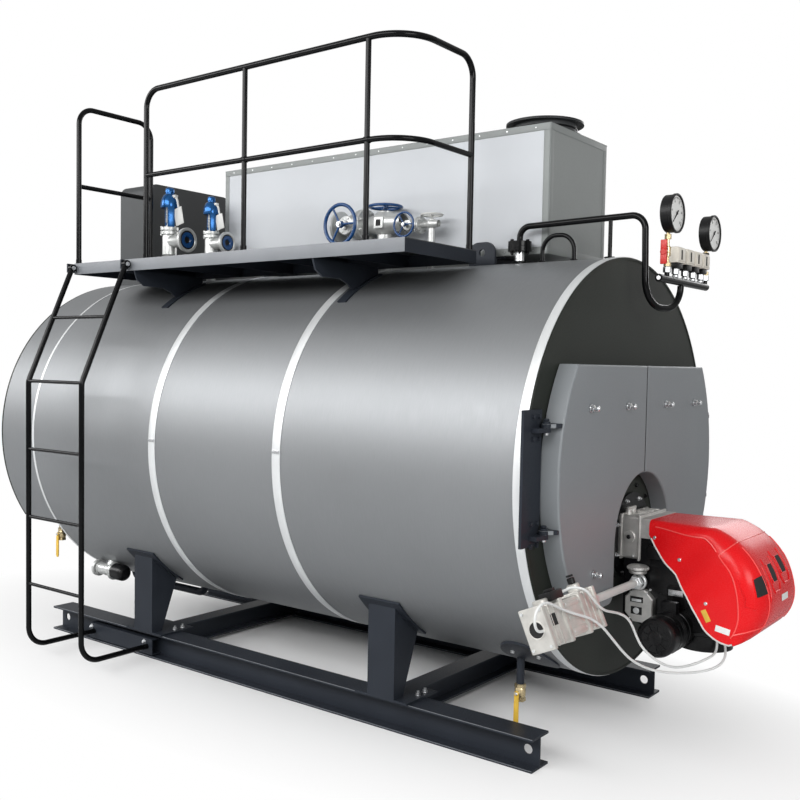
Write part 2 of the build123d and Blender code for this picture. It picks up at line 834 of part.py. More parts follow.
def gas_valve():
    """The gas valve block beside the burner, with its top leaning back, and the terminal box on it."""
    length = valve_body_right_x - valve_left_x
    body = Box(length, valve_depth, valve_height)
    body = fillet(body.edges().filter_by(Axis.X), valve_corner)
    body = Pos((valve_left_x + valve_body_right_x) / 2, 0, 0) * body
    terminal_x = (terminal_left_x + terminal_right_x) / 2
    terminal = Pos(terminal_x, terminal_offset, (valve_height + terminal_height) / 2)
    body += terminal * Box(terminal_right_x - terminal_left_x, terminal_depth, terminal_height)
    body = Pos(0, at(valve_place), valve_z) * Rot(-valve_tilt, 0, 0) * body
    body += disc(valve_body_right_x, at(gas_place), gas_z, valve_neck_radius,
                 valve_right_x - valve_body_right_x, (1, 0, 0))
    body -= disc(valve_right_x, at(gas_place), gas_z, gas_pipe_radius - gas_pipe_wall,
                 valve_right_x - valve_body_right_x, (-1, 0, 0))
    body -= disc(valve_left_x, at(valve_place), valve_z, gas_inlet_radius, gas_inlet_depth, (1, 0, 0))
    return body


def cable(name):
    """A burner cable: straight runs joined by arcs as large as the runs allow."""
    points = [Vector(*point) for point in cable_routes[name]]
    radii = []
    for before, corner, after in zip(points, points[1:], points[2:]):
        turn = math.radians((corner - before).get_angle(after - corner))
        run = min((corner - before).length, (after - corner).length)
        radii.append(cable_bend_share * run / math.tan(turn / 2))
    path = FilletPolyline(*points, radius=radii)
    tube = sweep(Plane(origin=path @ 0, z_dir=path % 0) * Circle(cable_radius), path=path)
    print(name, "length", round(path.length), "radii", [round(radius) for radius in radii])
    print(name, "volume", round(tube.volume), "section times length",
          round(math.pi * cable_radius ** 2 * path.length))
    return tube


def economiser_casing():
    """The insulated box of the economiser, open at the flue outlet and at the duct."""
    right = economiser_left_x + economiser_width
    back = economiser_front + economiser_length
    casing = block(economiser_left_x, right, at(economiser_front), at(back),
                   economiser_bottom_z, economiser_top_z)
    casing -= block(economiser_left_x + economiser_wall, right - economiser_wall,
                    at(economiser_front + economiser_wall), at(back - economiser_wall),
                    economiser_bottom_z + economiser_wall, economiser_top_z - economiser_wall)
    middle = economiser_left_x + economiser_width / 2
    casing -= disc(middle, at(economiser_front + outlet_from_front), economiser_top_z - economiser_wall,
                   outlet_radius - outlet_wall, 2 * economiser_wall, (0, 0, 1))
    casing -= block(middle - duct_width / 2 + duct_wall, middle + duct_width / 2 - duct_wall,
                    at(back - 2 * economiser_wall), at(back), economiser_bottom_z + economiser_wall,
                    duct_top_z - duct_wall)
    return casing


def economiser_outlet():
    """The round flue collar on the economiser, with a flange at each end."""
    x = economiser_left_x + economiser_width / 2
    y = at(economiser_front + outlet_from_front)
    top = economiser_top_z + outlet_height
    collar = disc(x, y, economiser_top_z, outlet_radius, outlet_height, (0, 0, 1))
    collar += disc(x, y, economiser_top_z, outlet_flange_radius - outlet_flange_thickness,
                   outlet_flange_thickness, (0, 0, 1))
    collar += disc(x, y, top - outlet_flange_thickness, outlet_flange_radius,
                   outlet_flange_thickness, (0, 0, 1))
    collar -= disc(x, y, economiser_top_z, outlet_radius - outlet_wall, outlet_height, (0, 0, 1))
    bolt = Pos(x, y, top) * PolarLocations(outlet_bolt_circle / 2, outlet_bolt_count)
    for place in bolt:
        collar -= place * Cylinder(outlet_bolt_radius, 2 * outlet_flange_thickness + 1)
    return collar


def economiser_cradles():
    """Two plates shaped to the shell, which carry the economiser."""
    left = economiser_left_x + cradle_inset
    right = economiser_left_x + economiser_width - cradle_inset
    cradles = []
    for place in cradle_places:
        outline = Pos((left + right) / 2, (shell_axis_z + economiser_bottom_z) / 2) * Rectangle(
            right - left, economiser_bottom_z - shell_axis_z)
        outline -= Pos(0, shell_axis_z) * Circle(shell_radius + seat_gap)
        cradle = along_y(outline, at(place) - cradle_plate / 2, at(place) + cradle_plate / 2)
        wedge = Pos((left + right) / 2, economiser_bottom_z - 2 * cradle_foot_width) * Rectangle(
            right - left, 4 * cradle_foot_width)
        pad = ring_face(shell_radius + cradle_foot_thickness, shell_radius + seat_gap) & wedge
        cradle += along_y(pad, at(place) - cradle_foot_width / 2, at(place) + cradle_foot_width / 2)
        cradle += block(left, right, at(place) - cradle_foot_width / 2, at(place) + cradle_foot_width / 2,
                        economiser_bottom_z - cradle_foot_thickness, economiser_bottom_z)
        cradles.append(cradle)
    return Compound(children=cradles)


def flue_hood():
    """The flue hood that stands on the rear smoke box, open below and at the duct."""
    right = flue_left_x + flue_width
    outline = Pos((flue_left_x + right) / 2, (shell_axis_z + flue_top_z) / 2) * Rectangle(
        flue_width, flue_top_z - shell_axis_z)
    top_corners = outline.vertices().sort_by(Axis.Y)[-2:]
    outline = fillet(top_corners, flue_corner)
    inner = offset(outline, -flue_wall)
    seat = Pos(0, shell_axis_z) * Circle(shell_radius + seat_gap)
    hood = along_y(outline - seat, at(flue_front), at(flue_front + flue_length))
    hood -= along_y(inner, at(flue_front + flue_wall), at(flue_front + flue_length - flue_wall))
    middle = economiser_left_x + economiser_width / 2
    hood -= block(middle - duct_width / 2 + duct_wall, middle + duct_width / 2 - duct_wall,
                  at(flue_front), at(flue_front + 2 * flue_wall), duct_bottom_z + duct_wall,
                  duct_top_z - duct_wall)
    return hood


def flue_duct():
    """The flat duct from the flue hood to the economiser."""
    middle = economiser_left_x + economiser_width / 2
    start = at(economiser_front + economiser_length)
    duct = block(middle - duct_width / 2, middle + duct_width / 2, start, at(flue_front),
                 duct_bottom_z, duct_top_z)
    duct -= block(middle - duct_width / 2 + duct_wall, middle + duct_width / 2 - duct_wall,
                  start, at(flue_front), duct_bottom_z + duct_wall, duct_top_z - duct_wall)
    return duct


def platform_frame():
    """The bars round and under the platform, with lugs for the ladder."""
    top = deck_top_z - deck_plate
    bottom = top - deck_frame_height
    frame = block(deck_outer_x, deck_inner_x, at(deck_front), at(deck_back), bottom, top)
    bay = (deck_back - deck_front - deck_frame_wall) / (deck_joists + 1)
    for number in range(deck_joists + 1):
        start = deck_front + deck_frame_wall + number * bay
        frame -= block(deck_outer_x + deck_frame_wall, deck_inner_x - deck_frame_wall,
                       at(start), at(start + bay - deck_frame_wall), bottom, top)
    for place in ladder_places:
        lug_y = at(place + ladder_eye_thickness / 2)
        frame += block(ladder_top[0] - ladder_eye_radius, deck_outer_x, lug_y, lug_y + ladder_lug_thickness,
                       ladder_top[1] - ladder_lug_height / 2, ladder_top[1] + ladder_lug_height / 2 - 1)
    return frame


def platform_deck():
    """The deck plate."""
    return block(deck_outer_x, deck_inner_x, at(deck_front), at(deck_back),
                 deck_top_z - deck_plate, deck_top_z)


def platform_brackets():
    """Two plates with curved pads, which carry the platform on the shell."""
    top = deck_top_z - deck_plate - deck_frame_height
    outline = [(x, top + drop) for x, drop in bracket_outline]
    lowest = outline[-1][1]
    brackets = []
    for place in bracket_places:
        plate = make_face(Polyline(*outline, (bracket_inner_x, lowest), (bracket_inner_x, top), close=True))
        plate -= Pos(0, shell_axis_z) * Circle(shell_radius + bracket_pad_thickness / 2)
        bracket = along_y(plate, at(place) - bracket_plate / 2, at(place) + bracket_plate / 2)
        bracket += shell_pad(bracket_pad_angles, bracket_pad_thickness,
                             at(place) - bracket_pad_width / 2, at(place) + bracket_pad_width / 2)
        brackets.append(bracket)
    return Compound(children=brackets)


def outer_railing():
    """The long railing, bent round the platform's front corner, with a middle rail and two posts."""
    x = deck_outer_x + rail_inset
    front = at(deck_front + rail_inset)
    back = at(rail_back_post)
    railing = bent_bar([(x, back, deck_top_z), (x, back, rail_top_z), (x, front, rail_top_z),
                        (rail_inner_x, front, rail_top_z), (rail_inner_x, front, deck_top_z)],
                       [rail_bend, rail_corner_bend, rail_bend], rail_radius)
    railing += bent_bar([(x, back, rail_mid_z), (x, front, rail_mid_z), (rail_inner_x, front, rail_mid_z)],
                        [rail_corner_bend], rail_bar_radius)
    for place in rail_posts:
        railing += disc(x, at(place), deck_top_z, rail_bar_radius, rail_top_z - deck_top_z, (0, 0, 1))
    return railing


def rear_railing():
    """The short railing across the platform's rear end."""
    x = deck_outer_x + rail_inset
    y = at(deck_back - rail_inset)
    railing = bent_bar([(x, y, deck_top_z), (x, y, rail_top_z), (rail_inner_x, y, rail_top_z),
                        (rail_inner_x, y, deck_top_z)], [rail_bend, rail_bend], rail_radius)
    railing += disc(x, y, rail_mid_z, rail_bar_radius, rail_inner_x - x, (1, 0, 0))
    return railing


def ladder():
    """The tube ladder: two bent stiles, four level rungs and one on the slope."""
    top_x, top_z = ladder_top
    foot_x = -beam_spacing / 2 - beam_width / 2
    near, far = (at(place) for place in ladder_places)
    pieces = None
    for y in (near, far):
        stile = bent_bar([(top_x, y, top_z), (ladder_x, y, ladder_knee_z), (ladder_x, y, ladder_foot_z),
                          (foot_x, y, ladder_foot_z)], [ladder_knee_bend, ladder_bend], rail_radius)
        stile += disc(top_x, y - ladder_eye_thickness / 2, top_z, ladder_eye_radius,
                      ladder_eye_thickness, (0, 1, 0))
        pieces = stile if pieces is None else pieces + stile
    for z in ladder_rungs:
        pieces += disc(ladder_x, near, z, ladder_rung_radius, far - near, (0, 1, 0))
    share = (ladder_slope_rung_z - ladder_knee_z) / (top_z - ladder_knee_z)
    pieces += disc(ladder_x + share * (top_x - ladder_x), near, ladder_slope_rung_z, ladder_rung_radius,
                   far - near, (0, 1, 0))
    return pieces


def ladder_anchor():
    """The channel in the near beam's side, to which the ladder's feet are fixed."""
    front, back = ladder_places
    outer = -beam_spacing / 2 - beam_width / 2
    inner = -beam_spacing / 2 - beam_web / 2
    bottom = ladder_foot_z - anchor_channel_height / 2
    top = ladder_foot_z + anchor_channel_height / 2
    y0 = at(front - anchor_channel_overhang)
    y1 = at(back + anchor_channel_overhang)
    channel = block(outer, inner, y0, y1, bottom, top)
    return channel - block(outer + anchor_channel_wall, inner, y0, y1,
                           bottom + anchor_channel_wall, top - anchor_channel_wall)


def safety_valve(place, scale):
    """A spring safety valve with a side outlet towards the front."""
    y = at(place)
    foot = shell_height(fitting_x)
    low, high, radius = safety_discs[0]
    valve = disc(fitting_x, y, foot + low * scale, radius * scale, (high - low) * scale, (0, 0, 1))
    for low, high, radius in safety_discs[1:]:
        valve += disc(fitting_x, y, foot + low * scale, radius * scale, (high - low) * scale, (0, 0, 1))
    width, height = safety_window
    window_low = foot + (safety_discs[6][0] + safety_discs[6][1] - height) / 2 * scale
    valve -= block(fitting_x - safety_outlet_radius, fitting_x + safety_outlet_radius,
                   y - width * scale / 2, y + width * scale / 2, window_low, window_low + height * scale)
    valve += disc(fitting_x, y, window_low - 1, safety_spindle_radius * scale, height * scale + 2, (0, 0, 1))
    outlet_z = foot + safety_outlet_height * scale
    valve += disc(fitting_x, y, outlet_z, safety_branch_radius * scale,
                  safety_outlet_reach * scale, (0, -1, 0))
    valve += disc(fitting_x, y - (safety_outlet_reach - safety_outlet_thickness) * scale, outlet_z,
                  safety_outlet_radius * scale, safety_outlet_thickness * scale, (0, -1, 0))
    lever_y = y + safety_lever_offset * scale
    lever_top = foot + (safety_discs[8][0] - safety_lever_radius * 2) * scale
    valve += bent_bar([(fitting_x, y, lever_top), (fitting_x, lever_y, lever_top),
                       (fitting_x, lever_y, foot + safety_discs[4][0] * scale)],
                      [3 * safety_lever_radius * scale], safety_lever_radius * scale)
    return valve - shell_space(seat_gap)


def all_safety_valves():
    """The two safety valves."""
    return Compound(children=[safety_valve(place, scale) for place, scale in safety_valves])


def flange_pair(x, y, z, radius, thickness, gap, direction):
    """Two flanges that meet at a point, with a narrow groove between them."""
    back = tuple(-part for part in direction)
    half_gap = gap / 2
    first = tuple(c + half_gap * d for c, d in zip((x, y, z), direction))
    second = tuple(c + half_gap * d for c, d in zip((x, y, z), back))
    return disc(*first, radius, thickness, direction) + disc(*second, radius, thickness, back)


def stem_bore(name):
    """The hole in a valve's bonnet for the stem of this hand wheel."""
    (x, place, z), direction, radius, stem_radius, stem_length = hand_wheels[name]
    back = tuple(-part for part in direction)
    return disc(x, at(place), z, stem_radius + stem_clearance, stem_length + stem_end_gap, back)


def main_steam_valve():
    """The large steam valve, on its nozzle, with a flange towards the rear."""
    y = at(main_valve_place)
    foot = shell_height(fitting_x) - main_valve_radius
    valve = Pos(fitting_x, y, run_z) * Sphere(main_valve_radius)
    valve += disc(fitting_x, y, foot, main_pipe_radius, run_z - foot, (0, 0, 1))
    valve += flange_pair(fitting_x, y, main_nozzle_flange_z, main_flange_radius, main_flange_thickness,
                         main_flange_gap, (0, 0, 1))
    valve += disc(fitting_x, y, run_z, main_pipe_radius, at(main_flange_place) - y, (0, 1, 0))
    valve += disc(fitting_x, at(main_flange_place) - main_flange_thickness, run_z, main_flange_radius,
                  main_flange_thickness, (0, 1, 0))
    valve += disc(fitting_x, y, run_z, main_pipe_radius, main_bonnet_top - run_z, (0, 0, 1))
    branch_start = at(branch_valve_place) + 2 * branch_valve_radius
    valve += disc(fitting_x, branch_start, branch_z, branch_pipe_radius, y - branch_start, (0, 1, 0))
    valve -= stem_bore("main_steam_wheel")
    return valve - shell_space(band_thickness + seat_gap)


def outlet_steam_valve():
    """The steam outlet valve behind the large one, with its stem towards the platform."""
    y = at(outlet_valve_place)
    start = at(main_flange_place)
    end = at(outlet_valve_end)
    valve = disc(fitting_x, start, run_z, main_pipe_radius, end - start, (0, 1, 0))
    valve += Pos(fitting_x, y, run_z) * Sphere(outlet_valve_radius)
    valve += disc(fitting_x, start, run_z, main_flange_radius, main_flange_thickness, (0, 1, 0))
    valve += disc(fitting_x, end - main_flange_thickness, run_z, main_flange_radius, main_flange_thickness,
                  (0, 1, 0))
    valve += disc(fitting_x, y, run_z, outlet_bonnet_radius, fitting_x - outlet_bonnet_x, (-1, 0, 0))
    valve -= disc(fitting_x, y + outlet_bonnet_radius, run_z, outlet_bore_radius, end - y, (0, 1, 0))
    holes = Plane(origin=(fitting_x, end, run_z), z_dir=(0, 1, 0)) * PolarLocations(
        steam_bolt_circle / 2, steam_bolt_count, start_angle=180 / steam_bolt_count)
    for place in holes:
        valve -= place * Cylinder(steam_bolt_radius, 2 * main_flange_thickness + 1)
    return valve - stem_bore("steam_outlet_wheel")


def small_steam_valves():
    """The two small valves in front of the large one, on a nozzle of their own."""
    start = at(air_valve_place)
    run_end = at(branch_valve_place) + 2 * branch_valve_radius
    foot = shell_height(fitting_x) - branch_flange_radius
    valves = disc(fitting_x, start, branch_z, branch_pipe_radius, run_end - start, (0, 1, 0))
    valves += Pos(fitting_x, start, branch_z) * Sphere(air_valve_radius)
    valves += Pos(fitting_x, at(branch_valve_place), branch_z) * Sphere(branch_valve_radius)
    valves += disc(fitting_x, at(branch_valve_place), branch_z, branch_pipe_radius,
                   fitting_x - branch_bonnet_x, (-1, 0, 0))
    valves += disc(fitting_x, start, branch_z, air_bonnet_radius, air_bonnet_top - branch_z, (0, 0, 1))
    valves += flange_pair(fitting_x, at(branch_flange_place), branch_z, branch_flange_radius,
                          branch_flange_thickness, main_flange_gap, (0, 1, 0))
    valves += disc(fitting_x, start, foot, branch_pipe_radius, branch_z - foot, (0, 0, 1))
    valves += flange_pair(fitting_x, start, air_nozzle_flange_z, branch_flange_radius,
                          branch_flange_thickness, main_flange_gap, (0, 0, 1))
    valves -= stem_bore("branch_wheel")
    valves -= stem_bore("air_wheel")
    return valves - shell_space(seat_gap)


def hand_wheel(name):
    """A hand wheel with three spokes, a hub and its stem."""
    (x, place, z), direction, radius, stem_radius, stem_length = hand_wheels[name]
    rim = radius * wheel_rim_share
    wheel = Torus(radius - rim, rim)
    wheel += Cylinder(radius * wheel_hub_share, radius * wheel_hub_height_share)
    for number in range(wheel_spokes):
        spoke = disc(0, 0, 0, radius * wheel_spoke_share, radius - rim, (1, 0, 0))
        wheel += Rot(0, 0, 90 + number * 360 / wheel_spokes) * spoke
    wheel += disc(0, 0, 0, stem_radius, stem_length, (0, 0, -1))
    return Plane(origin=(x, at(place), z), z_dir=direction) * wheel


def siphon_pipe():
    """The pressure pipe: from its flange on the shell forward over the front and through a U bend."""
    x = siphon_x
    start = at(siphon_place)
    front_place, front_z = siphon_front
    low_place, low_z = siphon_low
    stub_foot = shell_height(x) - siphon_flange_radius
    pipe = bent_bar([(x, start, siphon_flange_z), (x, start, siphon_rise_z), (x, at(front_place), front_z),
                     (x, at(low_place), low_z), (siphon_header_x, at(header_place), low_z),
                     (siphon_header_x, at(header_place), header_z - header_radius)],
                    siphon_bends, siphon_radius)
    pipe += disc(x, start, stub_foot, siphon_stub_radius, siphon_flange_z - stub_foot, (0, 0, 1))
    pipe += flange_pair(x, start, siphon_flange_z + siphon_flange_height / 2, siphon_flange_radius,
                        siphon_flange_height / 2 - main_flange_gap, main_flange_gap, (0, 0, 1))
    post_foot = shell_height(x) - siphon_flange_radius
    pipe += disc(x, at(siphon_post_place), post_foot, siphon_post_radius,
                 siphon_rise_z - post_foot, (0, 0, 1))
    return pipe - shell_space(seat_gap)


def gauge_header():
    """The level header over the front, with its row of small cocks."""
    y = at(header_place)
    header = disc(header_left_x, y, header_z, header_radius, header_right_x - header_left_x, (1, 0, 0))
    header -= disc(siphon_header_x, y, header_z - 2 * header_radius, siphon_radius, header_radius, (0, 0, 1))
    for x in cock_x:
        header += disc(x, y, header_z, cock_radius, cock_top_z - header_z, (0, 0, 1))
    stem_x = gauge_stems[1][0]
    header += disc(stem_x, y, header_z, cock_radius, cock_top_z - header_z, (0, 0, 1))
    return header


def pressure_gauge(number):
    """A round dial gauge on its stem and cock, facing the front."""
    x, z = gauge_stems[number]
    y = at(header_place)
    gauge = disc(x, at(gauge_back), z, gauge_radius, gauge_depth, (0, -1, 0))
    gauge += disc(x, y, cock_top_z, gauge_stem_radius, z - cock_top_z, (0, 0, 1))
    cock_length = (z - gauge_radius - cock_top_z) * gauge_cock_share
    gauge += disc(x, y, cock_top_z, gauge_cock_radius, cock_length, (0, 0, 1))
    return gauge


def pressure_controllers():
    """The row of pressure controllers on the header's cocks."""
    boxes = []
    for x in cock_x[1:]:
        boxes.append(block(x - controller_width / 2, x + controller_width / 2,
                           at(header_place) - controller_depth / 2, at(header_place) + controller_depth / 2,
                           cock_top_z, controller_top_z))
    return Compound(children=boxes)


def lifting_lug():
    """The lifting plate on top of the shell."""
    foot = shell_height(siphon_x) - lug_height / 2
    outline = Pos(at(lug_place), (foot + shell_height(siphon_x) + lug_height) / 2) * Rectangle(
        lug_width, shell_height(siphon_x) + lug_height - foot)
    outline = fillet(outline.vertices().sort_by(Axis.Y)[-2:], lug_corner)
    outline -= Pos(at(lug_place), shell_height(siphon_x) + lug_height - lug_corner) * Circle(lug_hole_radius)
    lug = along_x(outline, siphon_x - lug_thickness / 2, siphon_x + lug_thickness / 2)
    return lug - shell_space(seat_gap)


def loop_pipe():
    """The small looped pipe between the siphon's flange and the front."""
    front, back = loop_places
    foot = shell_height(siphon_x) - loop_bend
    pipe = bent_bar([(siphon_x, at(front), foot), (siphon_x, at(front), loop_top_z),
                     (siphon_x, at(back), loop_top_z), (siphon_x, at(back), foot)],
                    [loop_bend, loop_bend], loop_radius)
    return pipe - shell_space(seat_gap)


def drain_valve(x, place, pipe_top_z, valve_top_z, valve_bottom_z):
    """A pipe down to a ball valve whose stem points to the platform side."""
    y = at(place)
    valve = disc(x, y, pipe_top_z, drain_pipe_radius, pipe_top_z - valve_top_z + 1, (0, 0, -1))
    valve += disc(x, y, valve_top_z, drain_valve_radius, valve_top_z - valve_bottom_z, (0, 0, -1))
    middle = (valve_top_z + valve_bottom_z) / 2
    valve += disc(x, y, middle, drain_stem_radius, lever_offset + lever_thickness, (-1, 0, 0))
    valve += disc(x, y, middle, 2 * drain_stem_radius, lever_offset - seat_gap, (-1, 0, 0))
    return valve


def front_drain():
    """The front drain: a round pad under the shell, its pipe and a ball valve."""
    pad = along_y(ring_face(shell_radius + drain_pad_thickness, shell_radius + seat_gap),
                  at(0), at(shell_length))
    pad &= Pos(drain_pad_x, at(drain_pad_place), 0) * Cylinder(
        drain_pad_radius, shell_axis_z, align=(Align.CENTER, Align.CENTER, Align.MIN))
    valve = drain_valve(drain_x, drain_place, shell_axis_z - shell_radius / 2, drain_valve_top_z,
                        drain_valve_bottom_z)
    return pad + (valve - shell_space(drain_pad_thickness / 2))


def rear_drain():
    """The drain under the rear smoke box."""
    return drain_valve(rear_drain_x, rear_drain_place, rear_box_floor_z, rear_drain_valve_top_z,
                       rear_drain_valve_bottom_z)


def drain_lever(x, place, valve_top_z, valve_bottom_z):
    """A flat lever that hangs from a ball valve's stem."""
    middle = (valve_top_z + valve_bottom_z) / 2
    y = at(place)
    outline = Pos(y, middle - lever_length / 2 + lever_width / 2) * Rectangle(lever_width, lever_length)
    outline = fillet(outline.vertices(), lever_corner)
    outline -= Pos(y, middle) * Circle(drain_stem_radius + pin_clearance)
    return along_x(outline, x - lever_offset - lever_thickness, x - lever_offset)


def blowdown_valve():
    """The blowdown valve low beside the shell's rear end, with a flange towards the rear."""
    front = at(blowdown_place)
    start, end, radius = blowdown_discs[0]
    valve = disc(blowdown_x, front + start, blowdown_z, radius, end - start, (0, 1, 0))
    valve = fillet(valve.edges().sort_by(Axis.Y)[0], blowdown_corner)
    for start, end, radius in blowdown_discs[1:]:
        valve += disc(blowdown_x, front + start, blowdown_z, radius, end - start, (0, 1, 0))
    inward = (-blowdown_x, 0, shell_axis_z - blowdown_z)
    valve += disc(blowdown_x, at(blowdown_neck_place), blowdown_z, blowdown_neck_radius,
                  blowdown_neck_length, inward)
    start, end = (front + place for place in blowdown_discs[3][:2])
    holes = Plane(origin=(blowdown_x, end, blowdown_z), z_dir=(0, 1, 0)) * PolarLocations(
        blowdown_bolt_circle / 2, blowdown_bolt_count, start_angle=45)
    for place in holes:
        valve -= place * Cylinder(blowdown_bolt_radius, 2 * (end - start) + 1)
    return valve - shell_space(seat_gap)


def bottom_pipe():
    """The pipe that runs along the shell's underside and joins it at both ends."""
    x = bottom_pipe_x
    start = at(bottom_pipe_start)
    end = at(bottom_pipe_end)
    inside_z = bottom_pipe_z + 2 * bottom_pipe_bend
    pipe = bent_bar([(x, start, inside_z), (x, start, bottom_pipe_z), (x, end, bottom_pipe_z),
                     (x, end, inside_z)], [bottom_pipe_bend, bottom_pipe_bend], bottom_pipe_radius)
    return pipe - shell_space(seat_gap)


nodes = {
    "skid_beam_left": skid_beam(-1),
    "skid_beam_right": skid_beam(1),
    "cross_beam_front": cross_beam(saddle_places[0]),
    "cross_beam_rear": cross_beam(saddle_places[1]),
    "saddle_front_left": saddle(-1, saddle_places[0]),
    "saddle_front_right": saddle(1, saddle_places[0]),
    "saddle_rear_left": saddle(-1, saddle_places[1]),
    "saddle_rear_right": saddle(1, saddle_places[1]),
    "shell": shell(),
    "front_plate": front_plate(),
    "rear_plate": rear_plate(),
    "shell_bands": shell_bands(),
    "rear_smoke_box": rear_smoke_box(),
    "rear_cover": rear_cover(),
    "door_left": door(-1),
    "door_right": door(1),
    "hinge_plates": hinge_plates(),
    "furnace_mouth": furnace_mouth(),
    "burner_casting": burner_casting(),
    "burner_housing": burner_housing(),
    "burner_hood": burner_hood(),
    "burner_motor": burner_motor(),
    "gas_cover": gas_cover(),
    "gas_pipe": gas_pipe(),
    "gas_valve": gas_valve(),
    "economiser_casing": economiser_casing(),
    "economiser_outlet": economiser_outlet(),
    "economiser_cradles": economiser_cradles(),
    "flue_hood": flue_hood(),
    "flue_duct": flue_duct(),
    "platform_frame": platform_frame(),
    "platform_deck": platform_deck(),
    "platform_brackets": platform_brackets(),
    "outer_railing": outer_railing(),
    "rear_railing": rear_railing(),
    "ladder": ladder(),
    "ladder_anchor": ladder_anchor(),
    "safety_valves": all_safety_valves(),
    "main_steam_valve": main_steam_valve(),
    "outlet_steam_valve": outlet_steam_valve(),
    "small_steam_valves": small_steam_valves(),
    "siphon_pipe": siphon_pipe(),
    "gauge_header": gauge_header(),
    "gauge_left": pressure_gauge(0),
    "gauge_right": pressure_gauge(1),
    "pressure_controllers": pressure_controllers(),
    "lifting_lug": lifting_lug(),
    "loop_pipe": loop_pipe(),
    "front_drain": front_drain(),
    "front_drain_lever": drain_lever(drain_x, drain_place, drain_valve_top_z, drain_valve_bottom_z),
    "rear_drain": rear_drain(),
    "rear_drain_lever": drain_lever(rear_drain_x, rear_drain_place, rear_drain_valve_top_z,
                                    rear_drain_valve_bottom_z),
    "blowdown_valve": blowdown_valve(),
    "bottom_pipe": bottom_pipe(),
}
for name in hand_wheels:
    nodes[name] = hand_wheel(name)
for name in cable_routes:
    nodes[name] = cable(name)

os.makedirs("parts", exist_ok=True)
for name, solid in nodes.items():
    export_step(solid, f"parts/{name}.step")
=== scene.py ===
import json
import math

import bmesh
import bpy
from mathutils import Matrix, Vector

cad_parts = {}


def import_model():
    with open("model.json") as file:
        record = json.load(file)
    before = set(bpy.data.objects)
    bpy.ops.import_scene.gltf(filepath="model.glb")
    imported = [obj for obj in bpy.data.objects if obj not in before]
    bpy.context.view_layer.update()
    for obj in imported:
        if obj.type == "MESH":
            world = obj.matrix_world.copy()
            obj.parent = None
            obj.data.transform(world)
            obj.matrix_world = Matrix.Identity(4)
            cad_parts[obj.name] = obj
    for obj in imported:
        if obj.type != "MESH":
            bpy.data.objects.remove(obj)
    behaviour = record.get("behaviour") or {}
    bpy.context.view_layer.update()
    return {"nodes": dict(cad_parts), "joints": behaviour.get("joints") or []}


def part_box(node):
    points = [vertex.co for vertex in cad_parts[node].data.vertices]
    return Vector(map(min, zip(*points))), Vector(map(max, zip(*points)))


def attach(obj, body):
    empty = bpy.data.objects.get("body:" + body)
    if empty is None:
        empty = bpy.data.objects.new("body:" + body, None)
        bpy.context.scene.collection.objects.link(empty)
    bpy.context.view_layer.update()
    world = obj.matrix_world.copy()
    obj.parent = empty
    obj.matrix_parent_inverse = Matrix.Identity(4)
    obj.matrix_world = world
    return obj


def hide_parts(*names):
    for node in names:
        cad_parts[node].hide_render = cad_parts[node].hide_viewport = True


# Lengths are in metres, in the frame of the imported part: -Y is the burner end, -X the platform side, Z up.
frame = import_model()
nodes = frame["nodes"]
joints = {joint["child"]: joint for joint in frame["joints"]}

UP = Vector((0, 0, 1))
FRONT = Vector((0, -1, 0))
BACK = Vector((0, 1, 0))
LEFT = Vector((-1, 0, 0))
RIGHT = Vector((1, 0, 0))
SIDES = (-1, 1)

shell_low, shell_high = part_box("shell")
shell_radius = (shell_high.x - shell_low.x) / 2
shell_axis_z = (shell_high.z + shell_low.z) / 2
face_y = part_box("front_plate")[0].y
# The gap that keeps two faces in one plane apart.
hair = 0.0005


# Placing

def middle(node):
    """The centre of a node's box."""
    low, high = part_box(node)
    return (low + high) / 2


def at(place):
    """The Y that lies this far behind the front plate's face."""
    return face_y + place


def top_of_shell(x):
    """The height of the shell's surface at this X."""
    return shell_axis_z + math.sqrt(shell_radius ** 2 - x ** 2)


def turned(point, direction, side=None):
    """A placement at a point whose Z axis runs along a direction, and whose Y axis is close to side."""
    z = Vector(direction).normalized()
    hint = side or (UP if abs(z.z) < 0.9 else BACK)
    x = hint.cross(z).normalized()
    return Matrix.Translation(Vector(point)) @ Matrix((x, z.cross(x), z)).transposed().to_4x4()


def moved(x=0.0, y=0.0, z=0.0):
    return Matrix.Translation(Vector((x, y, z)))


def placed(place):
    """A placement, given as one or as a bare point."""
    return place if isinstance(place, Matrix) else moved(*place)


def spun(angle, axis="Z"):
    return Matrix.Rotation(math.radians(angle), 4, axis)


def on_shell(angle, y, out=0.0):
    """A placement on the shell that faces outward, this many degrees above the level on the left."""
    turn = math.radians(angle)
    outward = Vector((-math.cos(turn), 0, math.sin(turn)))
    return turned(Vector((0, y, shell_axis_z)) + outward * (shell_radius + out), outward, BACK)


def ring_places(count, radius, start=0.0):
    """Placements on a circle in the XY plane."""
    return [spun(start + number * 360 / count) @ moved(radius) for number in range(count)]


def round_points(radius, count, height=0.0):
    """Points on a circle about the Z axis, or the one on the axis itself where the radius is nothing."""
    turns = [2 * math.pi * number / count for number in range(count if radius else 1)]
    return [Vector((radius * math.cos(turn), radius * math.sin(turn), height)) for turn in turns]


def swing(first, last, share):
    """Turn one arm towards another by a share of the angle between them."""
    return Matrix.Rotation(first.angle(last) * share, 3, first.cross(last)) @ first


